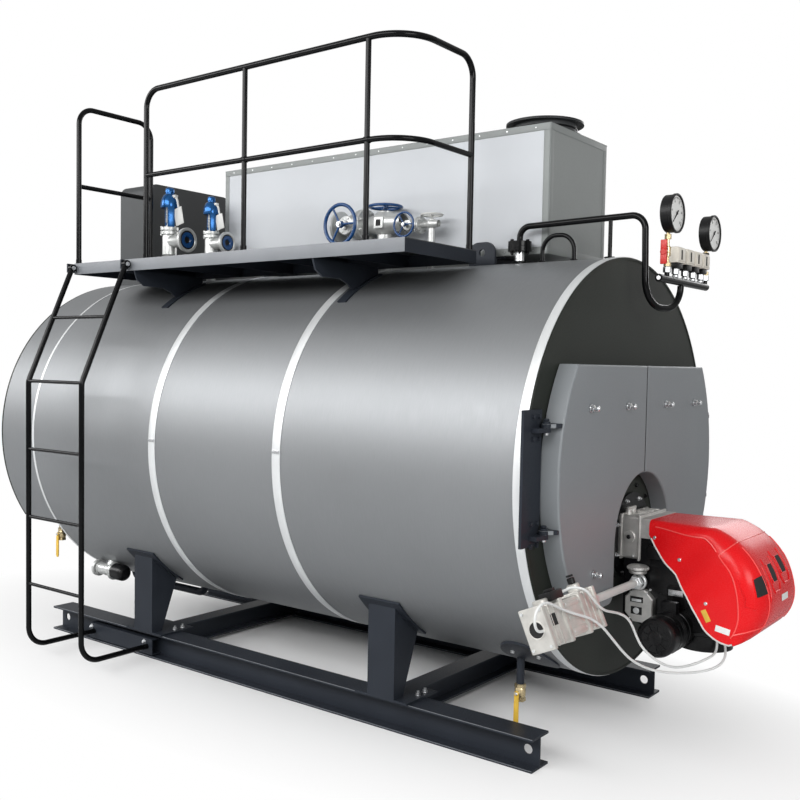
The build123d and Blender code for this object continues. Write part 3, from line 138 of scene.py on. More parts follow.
def rounded(points, radii, steps=6):
    """A line through points, whose corners are arcs of these radii."""
    line = [points[0]]
    for before, corner, after, radius in zip(points, points[1:], points[2:], radii):
        back = (before - corner).normalized()
        ahead = (after - corner).normalized()
        half = back.angle(ahead) / 2
        centre = corner + (back + ahead).normalized() * (radius / math.sin(half))
        reach = radius / math.tan(half)
        first = corner + back * reach - centre
        last = corner + ahead * reach - centre
        line += [centre + swing(first, last, step / steps) for step in range(steps + 1)]
    return line + [points[-1]]


def add_object(name, data):
    """A new object of the scene that holds this mesh, curve, lamp or camera."""
    made = bpy.data.objects.new(name, data)
    bpy.context.scene.collection.objects.link(made)
    return made


class Piece:
    """One piece of the boiler, put together from turned, sawn and bent parts of several materials."""

    def __init__(self, name, material):
        self.name = name
        self.mesh = bmesh.new()
        self.materials = [material]
        self.current = 0

    def use(self, material):
        """Give the parts that follow this material."""
        if material not in self.materials:
            self.materials.append(material)
        self.current = self.materials.index(material)

    def paint(self, faces):
        for face in faces:
            face.material_index = self.current

    def row(self, points):
        return [self.mesh.verts.new(point) for point in points]

    def face(self, corners):
        self.paint([self.mesh.faces.new(corners)])

    def bridge(self, rows, closed=True):
        """Join each row of corners to the next one. A row may be a single point."""
        for low, high in zip(rows, rows[1:]):
            count = max(len(low), len(high))
            for number in range(count if closed else count - 1):
                after = (number + 1) % count
                corners = (low[number % len(low)], low[after % len(low)],
                           high[after % len(high)], high[number % len(high)])
                self.face(list(dict.fromkeys(corners)))

    def lathe(self, profile, place, segments=28):
        """Turn a profile of (radius, height) about the placement's Z axis."""
        place = placed(place)
        self.bridge([self.row(place @ point for point in round_points(radius, segments, height))
                     for radius, height in profile])

    def disc(self, place, radius, length, edge=0.0, inner=0.0, segments=28):
        """A turned disc or ring with broken edges."""
        outer = [(radius - edge, 0), (radius, edge), (radius, length - edge), (radius - edge, length)]
        ends = [(inner, length), (inner, 0)] if inner else [(0, length)]
        self.lathe([(inner, 0)] + outer + ends, place, segments)

    def prism(self, outline, length, place, edge=0.0):
        """Push an outline of (x, y) along the placement's Z axis, with an optional bevel at the far end."""
        place = placed(place)
        corners = [Vector((x, y, 0)) for x, y in outline]
        centre = sum(corners, Vector()) / len(corners)
        levels = [(0.0, 0.0), (length - edge, 0.0)] + ([(length, edge)] if edge else [])
        rows = [self.row(place @ (corner + (centre - corner).normalized() * inset + UP * height)
                         for corner in corners) for height, inset in levels]
        self.bridge(rows)
        self.face(rows[0][::-1])
        self.face(rows[-1])

    def box(self, size, place, edge=0.0):
        """A block about the placement's origin, with all its edges broken."""
        scale = Matrix.Diagonal((*size, 1))
        corners = bmesh.ops.create_cube(self.mesh, size=1.0, matrix=placed(place) @ scale)["verts"]
        self.paint({face for corner in corners for face in corner.link_faces})
        if edge:
            edges = list({line for corner in corners for line in corner.link_edges})
            self.paint(bmesh.ops.bevel(self.mesh, geom=edges, offset=edge, segments=2, profile=0.6,
                                       affect="EDGES", clamp_overlap=True)["faces"])

    def tube(self, points, radius, segments=12, closed=False):
        """A round bar along a line of points. A list of radii makes it taper."""
        radii = radius if isinstance(radius, list) else [radius] * len(points)
        side = None
        rows = []
        for number, (point, size) in enumerate(zip(points, radii)):
            before = points[number - 1] if number or closed else point
            after = points[(number + 1) % len(points)] if closed or number < len(points) - 1 else point
            ahead = (after - before).normalized()
            side = ahead.orthogonal() if side is None else side
            side = (side - ahead * side.dot(ahead)).normalized()
            across = Matrix((side, ahead.cross(side), ahead)).transposed()
            rows.append(self.row(point + across @ spot for spot in round_points(size, segments)))
        self.bridge(rows + rows[:1] if closed else rows)
        if not closed:
            self.face(rows[0][::-1])
            self.face(rows[-1])

    def torus(self, place, radius, rim, segments=48):
        """A closed ring of round bar in the placement's XY plane."""
        self.tube([placed(place) @ point for point in round_points(radius, segments)], rim, closed=True)

    def hexagon(self, place, across, length, edge=0.0012):
        """A six-sided nut or head, this wide across its flats."""
        outline = [(point.x, point.y) for point in round_points(across / math.sqrt(3), 6)]
        self.prism(outline, length, place, min(edge, length / 3))

    def bolt(self, place, size, stud=0.0, washer=True):
        """A bolt head or a nut of this thread size on its washer, with an optional length of stud."""
        place = placed(place)
        base = 0.18 * size if washer else 0.0
        if washer:
            self.disc(place, 1.05 * size, base, 0.03 * size, segments=18)
        self.hexagon(place @ moved(0, 0, base), 1.55 * size, 0.7 * size, 0.1 * size)
        if stud:
            self.disc(place @ moved(0, 0, base + 0.7 * size), size / 2, stud, 0.1 * size, segments=14)

    def finish(self, body, replaces=(), sharp=32):
        """Make the object, shade it, and fix it to its body."""
        bmesh.ops.recalc_face_normals(self.mesh, faces=self.mesh.faces)
        data = bpy.data.meshes.new(self.name)
        self.mesh.to_mesh(data)
        self.mesh.free()
        for material in self.materials:
            data.materials.append(material)
        data.polygons.foreach_set("use_smooth", [True] * len(data.polygons))
        data.set_sharp_from_angle(angle=math.radians(sharp))
        made = add_object(self.name, data)
        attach(made, body)
        if replaces:
            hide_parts(*replaces)


# Materials

def wire(tree, node, inputs):
    """Set a node's inputs, each to a value or to the output that feeds it."""
    for name, value in inputs.items():
        if isinstance(value, bpy.types.NodeSocket):
            tree.links.new(value, node.inputs[name])
        else:
            node.inputs[name].default_value = value
    return node


def new_node(tree, kind, inputs, **settings):
    node = tree.nodes.new(kind)
    for name, value in settings.items():
        setattr(node, name, value)
    return wire(tree, node, inputs)


class Look:
    """A material under construction: its shader and a few short ways to add nodes."""

    def __init__(self, name, stretch=(1, 1, 1)):
        self.material = bpy.data.materials.new(name)
        self.material.use_nodes = True
        self.tree = self.material.node_tree
        self.shader = self.tree.nodes["Principled BSDF"]
        self.plain_space = self.node("ShaderNodeTexCoord", {}).outputs["Object"]
        mapping = self.node("ShaderNodeMapping", {"Vector": self.plain_space, "Scale": stretch})
        self.space = mapping.outputs["Vector"]

    def node(self, kind, inputs, **settings):
        return new_node(self.tree, kind, inputs, **settings)

    def dress(self, inputs):
        """Set the shader's own inputs."""
        wire(self.tree, self.shader, inputs)
        return self.material

    def noise(self, scale, detail=3.0, rough=0.55, stretched=True):
        return self.node("ShaderNodeTexNoise", {
            "Vector": self.space if stretched else self.plain_space,
            "Scale": scale, "Detail": detail, "Roughness": rough}).outputs["Fac"]

    def spread(self, source, low, high, start=0.3, end=0.7):
        """Map a value from start to end onto low to high."""
        return self.node("ShaderNodeMapRange", {
            "Value": source, "From Min": start, "From Max": end,
            "To Min": low, "To Max": high}).outputs["Result"]

    def blend(self, amount, first, second):
        """Mix two colours; each is a colour or the output that gives one."""
        first, second = (tone if isinstance(tone, bpy.types.NodeSocket) else (*tone, 1)
                         for tone in (first, second))
        return self.node("ShaderNodeMix", {"Factor": amount, "A": first, "B": second},
                         data_type="RGBA").outputs["Result"]

    def bump(self, source, strength, distance):
        return self.node("ShaderNodeBump", {
            "Strength": strength, "Distance": distance, "Height": source}).outputs["Normal"]


def surface(name, colour, roughness, metallic, variation, patches, grain, depth, stretch=(1, 1, 1),
            strength=0.35, gloss=0.5):
    """A painted or bare surface: its tone drifts by the variation in broad patches, over a fine grain."""
    look = Look(name, stretch)
    drift = look.spread(look.noise(patches, 4.0, stretched=False), 0, 1)
    pale, dark = (tuple(min(1.0, part * factor) for part in colour)
                  for factor in (1 + variation, 1 - variation))
    fine = look.noise(grain, 2.0)
    return look.dress({
        "Base Color": look.blend(drift, dark, pale), "Metallic": metallic, "Specular IOR Level": gloss,
        "Roughness": look.spread(fine, roughness - 0.05, roughness + 0.06),
        "Normal": look.bump(fine, strength, depth)})


cladding = surface("brushed cladding", (0.25, 0.258, 0.266), 0.5, 0.75, 0.035, 0.9, 26.0, 0.0003,
                   (0.6, 14, 0.6), strength=0.2)
bright_steel = surface("bright strip", (0.72, 0.735, 0.74), 0.42, 0.5, 0.05, 4.0, 60.0, 0.0002)
zinc = surface("zinc plated", (0.66, 0.67, 0.68), 0.3, 1.0, 0.1, 30.0, 220.0, 0.0002)
skid_paint = surface("skid paint", (0.022, 0.026, 0.034), 0.4, 0.0, 0.12, 3.0, 120.0, 0.0003, gloss=0.16)
plate_paint = surface("end plate paint", (0.022, 0.025, 0.021), 0.5, 0.0, 0.1, 1.6, 140.0, 0.0004, gloss=0.16)
door_paint = surface("door paint", (0.225, 0.24, 0.252), 0.42, 0.0, 0.05, 1.2, 150.0, 0.0003, gloss=0.3)
casing_paint = surface("casing paint", (0.25, 0.265, 0.26), 0.5, 0.0, 0.05, 1.4, 120.0, 0.0004, gloss=0.3)
casing_sheet = surface("casing side sheet", (0.53, 0.55, 0.575), 0.5, 0.0, 0.04, 1.2, 30.0, 0.0003,
                       (0.5, 0.5, 12), strength=0.15, gloss=0.3)
flue_paint = surface("flue paint", (0.05, 0.053, 0.055), 0.5, 0.0, 0.1, 1.8, 120.0, 0.0004, gloss=0.25)
rail_paint = surface("rail paint", (0.0028, 0.003, 0.0034), 0.17, 0.0, 0.05, 6.0, 160.0, 0.0001,
                     strength=0.05, gloss=0.16)
burner_black = surface("burner black", (0.004, 0.004, 0.0045), 0.3, 0.0, 0.2, 9.0, 320.0, 0.0003, gloss=0.26)
black_plastic = surface("black plastic", (0.006, 0.006, 0.0065), 0.4, 0.0, 0.15, 14.0, 500.0, 0.0003,
                        gloss=0.25)
hood_red = surface("hood red", (0.74, 0.007, 0.01), 0.26, 0.0, 0.04, 3.0, 260.0, 0.0002, strength=0.08,
                   gloss=0.26)
# A paler red for the hood's ridges: a painted highlight along them.
hood_ridge_highlight = surface("hood ridges with painted highlight", (0.86, 0.09, 0.085), 0.25, 0.0, 0.04, 3.0, 260.0, 0.0002, strength=0.08)
cast_aluminium = surface("cast aluminium", (0.6, 0.59, 0.57), 0.42, 0.75, 0.12, 22.0, 240.0, 0.0008,
                         strength=0.6)
valve_silver = surface("valve silver", (0.55, 0.56, 0.55), 0.36, 0.55, 0.1, 16.0, 200.0, 0.0007, strength=0.5)
valve_blue = surface("valve blue", (0.004, 0.05, 0.17), 0.24, 0.0, 0.12, 12.0, 180.0, 0.0003)
bonnet_blue = surface("bonnet blue", (0.01, 0.09, 0.27), 0.2, 0.6, 0.1, 12.0, 180.0, 0.0003)
pale_paint = surface("pale paint", (0.62, 0.62, 0.6), 0.36, 0.0, 0.05, 9.0, 180.0, 0.0004, gloss=0.35)
case_beige = surface("controller case", (0.76, 0.72, 0.64), 0.5, 0.0, 0.05, 20.0, 400.0, 0.0002)
dial_white = surface("dial white", (0.82, 0.82, 0.8), 0.4, 0.0, 0.02, 8.0, 100.0, 0.0001, strength=0.05)
brass = surface("brass", (0.62, 0.5, 0.29), 0.28, 0.9, 0.12, 24.0, 260.0, 0.0003)
yellow_sleeve = surface("yellow sleeve", (0.68, 0.43, 0.05), 0.5, 0.0, 0.1, 30.0, 300.0, 0.0003)
# Pale grey strips along edges: a painted highlight.
painted_highlight_grey = surface("lit edge grey", (0.19, 0.2, 0.215), 0.4, 0.0, 0.1, 2.0, 90.0, 0.0003, gloss=0.3)
handle_red = surface("handle red", (0.55, 0.02, 0.015), 0.4, 0.0, 0.08, 30.0, 300.0, 0.0003)
cable_white = surface("cable sheath", (0.74, 0.75, 0.74), 0.38, 0.0, 0.05, 9.0, 180.0, 0.0003)
# Near black for the dials' marks, pointers and numbers and other dark parts, and for painted shade in holes,
# slots and recesses.
dark_parts_and_painted_shade = surface("dark parts and painted shade", (0.008, 0.008, 0.008), 0.8, 0.0, 0.1, 8.0, 60.0, 0.0003)
valve_pale = surface("gas valve casting", (0.6, 0.585, 0.55), 0.42, 0.5, 0.12, 18.0, 260.0, 0.0008,
                     strength=0.6, gloss=0.3)


def tread_plate():
    """Deck plate with a pattern of raised bars, each square's bar turned against its neighbours'."""
    look = Look("tread plate")
    checker = look.node("ShaderNodeTexChecker", {"Vector": look.plain_space, "Scale": 28.0})
    bars = [look.node("ShaderNodeTexWave", {"Vector": look.plain_space, "Scale": 9.0},
                      bands_direction=direction).outputs["Fac"] for direction in ("X", "Y")]
    pattern = look.node("ShaderNodeMix", {"Factor": checker.outputs["Fac"], "A": bars[0], "B": bars[1]})
    raised = look.spread(pattern.outputs["Result"], 0, 1, 0.55, 0.85)
    return look.dress({"Base Color": look.blend(raised, (0.028, 0.03, 0.032), (0.06, 0.063, 0.066)),
                       "Roughness": look.spread(look.noise(60.0), 0.38, 0.5),
                       "Normal": look.bump(raised, 0.8, 0.003)})


node_looks = {
    cladding: ["shell", "rear_smoke_box"],
    bright_steel: ["shell_bands"],
    skid_paint: ["skid_beam_left", "skid_beam_right", "cross_beam_front", "cross_beam_rear",
                 "saddle_front_left", "saddle_front_right", "saddle_rear_left", "saddle_rear_right",
                 "ladder_anchor", "platform_brackets", "platform_frame", "economiser_cradles", "lifting_lug",
                 "hinge_plates", "bottom_pipe", "front_drain"],
    plate_paint: ["front_plate", "rear_plate", "furnace_mouth", "rear_cover"],
    door_paint: ["door_left", "door_right"],
    cast_aluminium: ["burner_casting", "gas_cover"],
    burner_black: ["burner_housing", "burner_motor"],
    hood_red: ["burner_hood"],
    pale_paint: ["gas_pipe", "air_wheel"],
    valve_pale: ["gas_valve"],
    casing_paint: ["economiser_casing"],
    flue_paint: ["flue_hood", "flue_duct", "economiser_outlet"],
    tread_plate(): ["platform_deck"],
    rail_paint: ["outer_railing", "rear_railing", "ladder", "siphon_pipe", "loop_pipe", "gauge_header"],
    valve_silver: ["main_steam_valve", "outlet_steam_valve", "small_steam_valves", "safety_valves",
                   "blowdown_valve"],
    valve_blue: ["steam_outlet_wheel", "main_steam_wheel", "branch_wheel"],
    brass: ["rear_drain"],
    yellow_sleeve: ["front_drain_lever", "rear_drain_lever"],
    case_beige: ["pressure_controllers"],
    black_plastic: ["gauge_left", "gauge_right"],
}
for material, names in node_looks.items():
    for name in names:
        nodes[name].data.materials.clear()
        nodes[name].data.materials.append(material)


# Burner

mouth_z = 1.078


def curve_at(points, share):
    """The point this share of the way along a line of points."""
    lengths = [(after - before).length for before, after in zip(points, points[1:])]
    left = share * sum(lengths)
    for before, after, length in zip(points, points[1:], lengths):
        if left <= length:
            return before.lerp(after, left / length)
        left -= length
    return points[-1]


def arc_through(start, through, end, steps=10):
    """Points on the circle through three points of the YZ plane."""
    (ay, az), (by, bz), (cy, cz) = start, through, end
    a, b, c = ay**2 + az**2, by**2 + bz**2, cy**2 + cz**2
    spread = 2 * (ay * (bz - cz) + by * (cz - az) + cy * (az - bz))
    centre = Vector((0, (a * (bz - cz) + b * (cz - az) + c * (az - bz)) / spread,
                     (a * (cy - by) + b * (ay - cy) + c * (by - ay)) / spread))
    first = Vector((0, ay, az)) - centre
    last = Vector((0, cy, cz)) - centre
    return [centre + swing(first, last, step / steps) for step in range(steps + 1)]


# The hood's section changes along two lines, from its open back over the crown and the nose to the lip.
hood_half_width = 0.3
hood_back = at(-0.213)
hood_top = 1.2
hood_crown = (at(-0.56), hood_top)
hood_nose = (at(-0.826), 0.88)
hood_lip = (at(-0.69), 0.666)
hood_widths = [(0.0, 0.187), (0.3, 0.245), (0.5, 0.288), (0.62, hood_half_width), (1.0, hood_half_width)]
hood_rounding = [(0.0, 0.03), (0.3, 0.06), (0.5, 0.1), (0.75, 0.13), (1.0, 0.11)]
hood_top_line = ([Vector((0, hood_back, hood_top)), Vector((0, *hood_crown))]
                 + arc_through(hood_crown, (at(-0.764), 1.045), hood_nose)[1:]
                 + arc_through(hood_nose, (at(-0.788), 0.742), hood_lip)[1:])
hood_low_line = [Vector((0, at(place), z)) for place, z in [
    (-0.213, 1.125), (-0.25, 1.075), (-0.313, 1.01), (-0.385, 0.955), (-0.446, 0.876), (-0.505, 0.79),
    (-0.551, 0.718), (-0.6, 0.684), (-0.64, 0.67), (-0.69, 0.666)]]


def between(table, share):
    """Read a value from a table of (share, value) rows, with an eased step from row to row."""
    for (low, first), (high, second) in zip(table, table[1:]):
        if share <= high:
            part = (share - low) / (high - low)
            return first + (second - first) * part * part * (3 - 2 * part)
    return table[-1][1]


def hood_section(share, inset=0.0):
    """Half of the hood's section, from the middle of its top to its lower edge."""
    top = curve_at(hood_top_line, share)
    low = curve_at(hood_low_line, share)
    depth = (low - top).length
    width = between(hood_widths, share) - inset
    corner = min(between(hood_rounding, share), depth * 0.7 + 0.01)
    inward = (low - top).normalized() if depth > 1e-4 else Vector((0, 0.6, 0.8))
    start = top + inward * inset
    points = [start + RIGHT * width * part for part in (0.0, 0.35)]
    for step in range(7):
        turn = math.pi / 2 * step / 6
        points.append(start + RIGHT * (width - corner + corner * math.sin(turn))
                      + inward * corner * (1 - math.cos(turn)))
    rest = points[-1]
    edge = Vector((width, low.y, low.z)) if depth > corner else rest
    return points + [rest.lerp(edge, part) for part in (0.4, 0.7, 1.0)]


def mirrored(points, side):
    """These points of the right half, or their twins on the left where side is -1."""
    return [Vector((side * point.x, point.y, point.z)) for point in points]


def hood_point(x, share, out=0.0):
    """The point of the hood's skin at this X, moved outward a little."""
    half = hood_section(share)
    point = half[-1]
    for first, second in zip(half, half[1:]):
        if first.x <= abs(x) <= second.x and second.x > first.x:
            point = first.lerp(second, (abs(x) - first.x) / (second.x - first.x))
            break
    along = (hood_section(share + 0.01)[0] - hood_section(share - 0.01)[0]).normalized()
    outward = Vector((0, along.z, -along.y)) * (1 if along.z < 0 else -1)
    return Vector((x, point.y, point.z)) + outward * out


def hood_slot(piece, x, lower):
    """One air slot on the hood's front, with a raised U-shaped frame around it and a dark sheet of painted
    shade in its opening.
    """
    wide, top, bottom = 0.06, 0.54 + lower, 0.7 + lower
    piece.use(hood_red)
    right = [(wide - 0.02, bottom), (wide, bottom - 0.03), (wide, bottom - 0.08), (wide, top)]
    left = [(-offset, share) for offset, share in reversed(right)]
    piece.tube([hood_point(x + offset, share) for offset, share in left + right], 0.005, 8)
    # A dark sheet over the slot: painted shade where the opening is.
    piece.use(dark_parts_and_painted_shade)
    slot, slot_top, slot_bottom = 0.032, top + 0.032, bottom - 0.045
    steps = 4
    rows = [piece.row(hood_point(x - slot + 2 * slot * column / steps,
                                 slot_top + (slot_bottom - slot_top) * row / steps, 0.0025)
                      for column in range(steps + 1)) for row in range(steps + 1)]
    piece.bridge(rows, closed=False)
    piece.use(hood_red)
    loop = [(-slot, slot_top), (slot, slot_top), (slot, slot_bottom), (-slot, slot_bottom)]
    piece.tube([hood_point(x + offset, share, 0.001) for offset, share in loop], 0.0035, 8, closed=True)


def hood():
    """The red cover: a moulded shell with creases whose paler red is a painted highlight, framed air slots
    and a soft edge strip.
    """
    piece = Piece("hood_cover", hood_red)
    stations = 34
    sheets = []
    for inset in (0.0, 0.006):
        halves = [hood_section(number / stations, inset) for number in range(stations + 1)]
        sheets.append([piece.row(mirrored(half[:0:-1], -1) + half) for half in halves])
    outer, inner = sheets
    piece.bridge(outer, closed=False)
    piece.bridge(inner[::-1], closed=False)
    piece.bridge([inner[0], outer[0]], closed=False)
    piece.bridge([outer[-1], inner[-1]], closed=False)
    for edge in (0, -1):
        piece.bridge([[row[edge] for row in outer], [row[edge] for row in inner]], closed=False)
    crease = 0.0032
    flat = 8
    # Tubes along the creases, in a paler red: a painted highlight on each ridge.
    piece.use(hood_ridge_highlight)
    for side in SIDES:
        for start, end, column in ((0.04, 0.42, flat), (0.47, 0.9, 3), (0.44, 0.88, flat)):
            line = [hood_section(start + (end - start) * step / 24)[column] for step in range(25)]
            piece.tube(mirrored(line, side), crease, 8)
    for share in (0.44, 0.86):
        half = hood_section(share)[:flat + 1]
        piece.tube(mirrored(half[:0:-1], -1) + half, crease, 8)
    for material, steps, inset in ((pale_paint, stations, 0.0), (black_plastic, 40, 0.003)):
        piece.use(material)
        for side in SIDES:
            edge = [hood_section(number / steps, inset)[-1] for number in range(1, steps + 1)]
            piece.tube(mirrored(edge, side), 0.0045, 8)
    for x, lower in ((-0.235, 0.045), (-0.075, 0.012), (0.085, -0.008)):
        hood_slot(piece, x, lower)
    sticker_x = -hood_half_width - hair
    piece.use(yellow_sleeve)
    piece.box((0.002, 0.026, 0.06), moved(sticker_x, -2.628, 0.79) @ spun(-28, "X"), 0.0006)
    piece.use(dial_white)
    piece.box((0.002, 0.07, 0.03), moved(sticker_x, -2.71, 0.735) @ spun(10, "X"), 0.0006)
    piece.face(piece.row(hood_point(x, share, 0.002) for x, share in (
        (-0.03, 0.735), (0.07, 0.735), (0.07, 0.765), (-0.03, 0.765))))
    piece.use(zinc)
    for side in SIDES:
        for share in (0.06, 0.3, 0.62):
            point = hood_section(share)[-2]
            stud = turned((side * (point.x - 0.002), point.y, point.z), (side, 0, 0))
            piece.disc(stud, 0.009, 0.005, 0.002)
    piece.finish("boiler", ["burner_hood"], sharp=38)


def motor():
    """The fan motor: a finned case with a moulded end cap."""
    piece = Piece("motor_case", burner_black)
    low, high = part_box("burner_motor")
    centre = middle("burner_motor")
    radius = (high.z - low.z) / 2
    length = high.x - low.x
    place = turned((high.x, centre.y, centre.z), LEFT, UP)
    piece.lathe([(0, 0), (radius, 0), (radius, 0.05), (radius - 0.004, 0.052), (radius - 0.004, 0.058),
                 (radius, 0.06), (radius, length * 0.62), (radius - 0.005, length * 0.625),
                 (radius - 0.005, length * 0.655), (radius, length * 0.66), (radius, length - 0.03),
                 (radius - 0.003, length - 0.016), (radius - 0.012, length - 0.006),
                 (radius - 0.026, length - 0.003), (radius - 0.028, length - 0.007),
                 (radius - 0.06, length - 0.007), (radius - 0.066, length - 0.002),
                 (0, length - 0.001)], place, 56)
    for number in range(3):
        piece.torus(place @ moved(0, 0, length * 0.36 + number * 0.016), radius - 0.001, 0.0022, 56)
    for spoke in ring_places(9, 0.052):
        piece.box((0.05, 0.006, 0.006), place @ spoke @ moved(-0.002, 0, length - 0.006), 0.0015)
    piece.torus(place @ moved(0, 0, length - 0.005), 0.034, 0.003)
    for spot in ring_places(4, radius - 0.014, 45):
        piece.box((0.022, 0.03, 0.05), place @ spot @ moved(0.004, 0, length * 0.62), 0.004)
    piece.box((0.08, 0.11, 0.05), place @ moved(0, radius - 0.004, length * 0.3), 0.006)
    piece.use(zinc)
    for spot in ring_places(4, radius - 0.012, 45):
        piece.bolt(place @ spot @ moved(0, 0, length * 0.72), 0.007, washer=False)
    piece.finish("boiler", ["burner_motor"])


def housing_details():
    """What sits on the fan housing: cover plates, screws, a rib and the round intake's grille."""
    piece = Piece("housing_details", burner_black)
    face = -0.158
    for size, place, z, edge in (((0.008, 0.17, 0.2), -0.3, 0.93, 0.003),
                                 ((0.012, 0.1, 0.1), -0.36, 0.83, 0.003),
                                 ((0.03, 0.07, 0.06), -0.24, 1.035, 0.004)):
        piece.box(size, (face - size[0] / 2, at(place), z), edge)
    cover = turned((face, at(-0.44), 0.78), LEFT)
    piece.disc(cover, 0.13, 0.01, 0.003, segments=48)
    piece.torus(cover @ moved(0, 0, 0.01), 0.12, 0.004)
    piece.use(zinc)
    for place, z in ((-0.22, 1.02), (-0.375, 1.02), (-0.22, 0.84), (-0.375, 0.845), (-0.12, 0.72),
                     (-0.12, 1.0)):
        piece.bolt(turned((face - 0.008, at(place), z), LEFT), 0.006)
    piece.box((0.003, 0.075, 0.03), (face - 0.013, at(-0.355), 0.845), 0.001)
    intake_y, intake_radius = at(-0.447), 0.13
    piece.use(pale_paint)
    piece.disc((0, intake_y, 0.574), 0.133, 0.004, inner=0.118, segments=48)
    piece.use(black_plastic)
    for y in (-0.09, -0.06, -0.03, 0, 0.03, 0.06, 0.09):
        reach = math.sqrt(intake_radius ** 2 - y ** 2)
        piece.box((2 * reach, 0.008, 0.014), (0, intake_y + y, 0.6), 0.002)
    piece.finish("boiler")


def casting_details():
    """The aluminium casting: split flanges, ribs, latch and screws on the collar."""
    piece = Piece("casting_details", cast_aluminium)
    half, top, bottom = 0.165, 1.21, 0.985
    for place in (-0.052, -0.152):
        piece.box((2 * half + 0.012, 0.012, top - bottom + 0.01), (0, at(place), (top + bottom) / 2), 0.004)
    for x in (-0.1, -0.035, 0.035, 0.1):
        piece.box((0.008, 0.09, 0.012), (x, at(-0.102), top + 0.003), 0.003)
    for x in (-0.12, -0.07):
        piece.disc((x, at(-0.07), top - 0.004), 0.017, 0.028, 0.004)
        piece.box((0.05, 0.014, 0.02), (x + 0.012, at(-0.07), top + 0.026), 0.004)
    plug = turned((-half, at(-0.1), 1.1), LEFT)
    piece.disc(plug, 0.03, 0.008, 0.002)
    piece.use(zinc)
    for spot in ring_places(8, 0.205, 22.5):
        piece.bolt(turned((0, at(-0.038), mouth_z), FRONT) @ spot, 0.012, 0.008)
    for x in (-0.15, 0.15):
        for z in (1.0, 1.19):
            piece.bolt(turned((x, at(-0.158), z), FRONT), 0.008, washer=False)
    piece.use(black_plastic)
    piece.disc(plug @ moved(0, 0, 0.008), 0.011, 0.012, 0.003)
    piece.finish("boiler")


def gas_cover():
    """The eight-sided light cover with its two pressed recesses, darkened with painted shade, and corner
    screws.
    """
    piece = Piece("gas_cover_plate", cast_aluminium)
    low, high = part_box("gas_cover")
    centre = middle("gas_cover")
    width, height, face = (high.y - low.y) / 2, (high.z - low.z) / 2, high.x - low.x
    cut = 0.044
    half = [(width - cut, -height), (width, -height + cut), (width, height - cut), (width - cut, height)]
    place = turned((high.x, centre.y, centre.z), LEFT, UP)
    piece.prism(half + [(-x, -y) for x, y in half], face, place, 0.006)
    # Dark plates in the two recesses: painted shade.
    piece.use(dark_parts_and_painted_shade)
    piece.box((0.07, 0.03, 0.004), place @ moved(-0.01, 0.032, face - 0.001), 0.0015)
    piece.box((0.06, 0.04, 0.004), place @ moved(-0.01, -0.025, face - 0.001), 0.0015)
    piece.use(bright_steel)
    piece.box((0.052, 0.014, 0.006), place @ moved(-0.01, 0.028, face), 0.002)
    piece.disc(place @ moved(-0.01, -0.025, face - 0.002), 0.016, 0.007, 0.002)
    piece.use(zinc)
    for x in (-0.045, 0.045):
        for y in (-0.068, 0.068):
            piece.bolt(place @ moved(x, y, face), 0.006, washer=False)
    piece.finish("boiler", ["gas_cover"])


def gas_pipe_fittings():
    """The knurled union and nuts at both ends of the gas pipe."""
    piece = Piece("gas_pipe_unions", bright_steel)
    low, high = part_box("gas_pipe")
    centre = middle("gas_pipe")
    for x, direction in ((low.x, RIGHT), (high.x, LEFT)):
        place = turned((x, centre.y, centre.z), direction)
        piece.hexagon(place, 0.062, 0.03, 0.003)
        piece.disc(place @ moved(0, 0, 0.03), 0.026, 0.016, 0.003)
    piece.disc(turned((-0.175, centre.y, centre.z), LEFT), 0.042, 0.02, 0.003)
    piece.use(cast_aluminium)
    body = moved(-0.2, at(-0.165), 0.925)
    piece.disc(body, 0.045, 0.018, 0.004)
    piece.lathe([(0.05, 0.018), (0.053, 0.022), (0.053, 0.034), (0.044, 0.04), (0.02, 0.044),
                 (0, 0.045)], body)
    for spot in ring_places(20, 0.053):
        piece.box((0.004, 0.006, 0.012), body @ spot @ moved(0, 0, 0.028), 0.001)
    piece.finish("boiler")


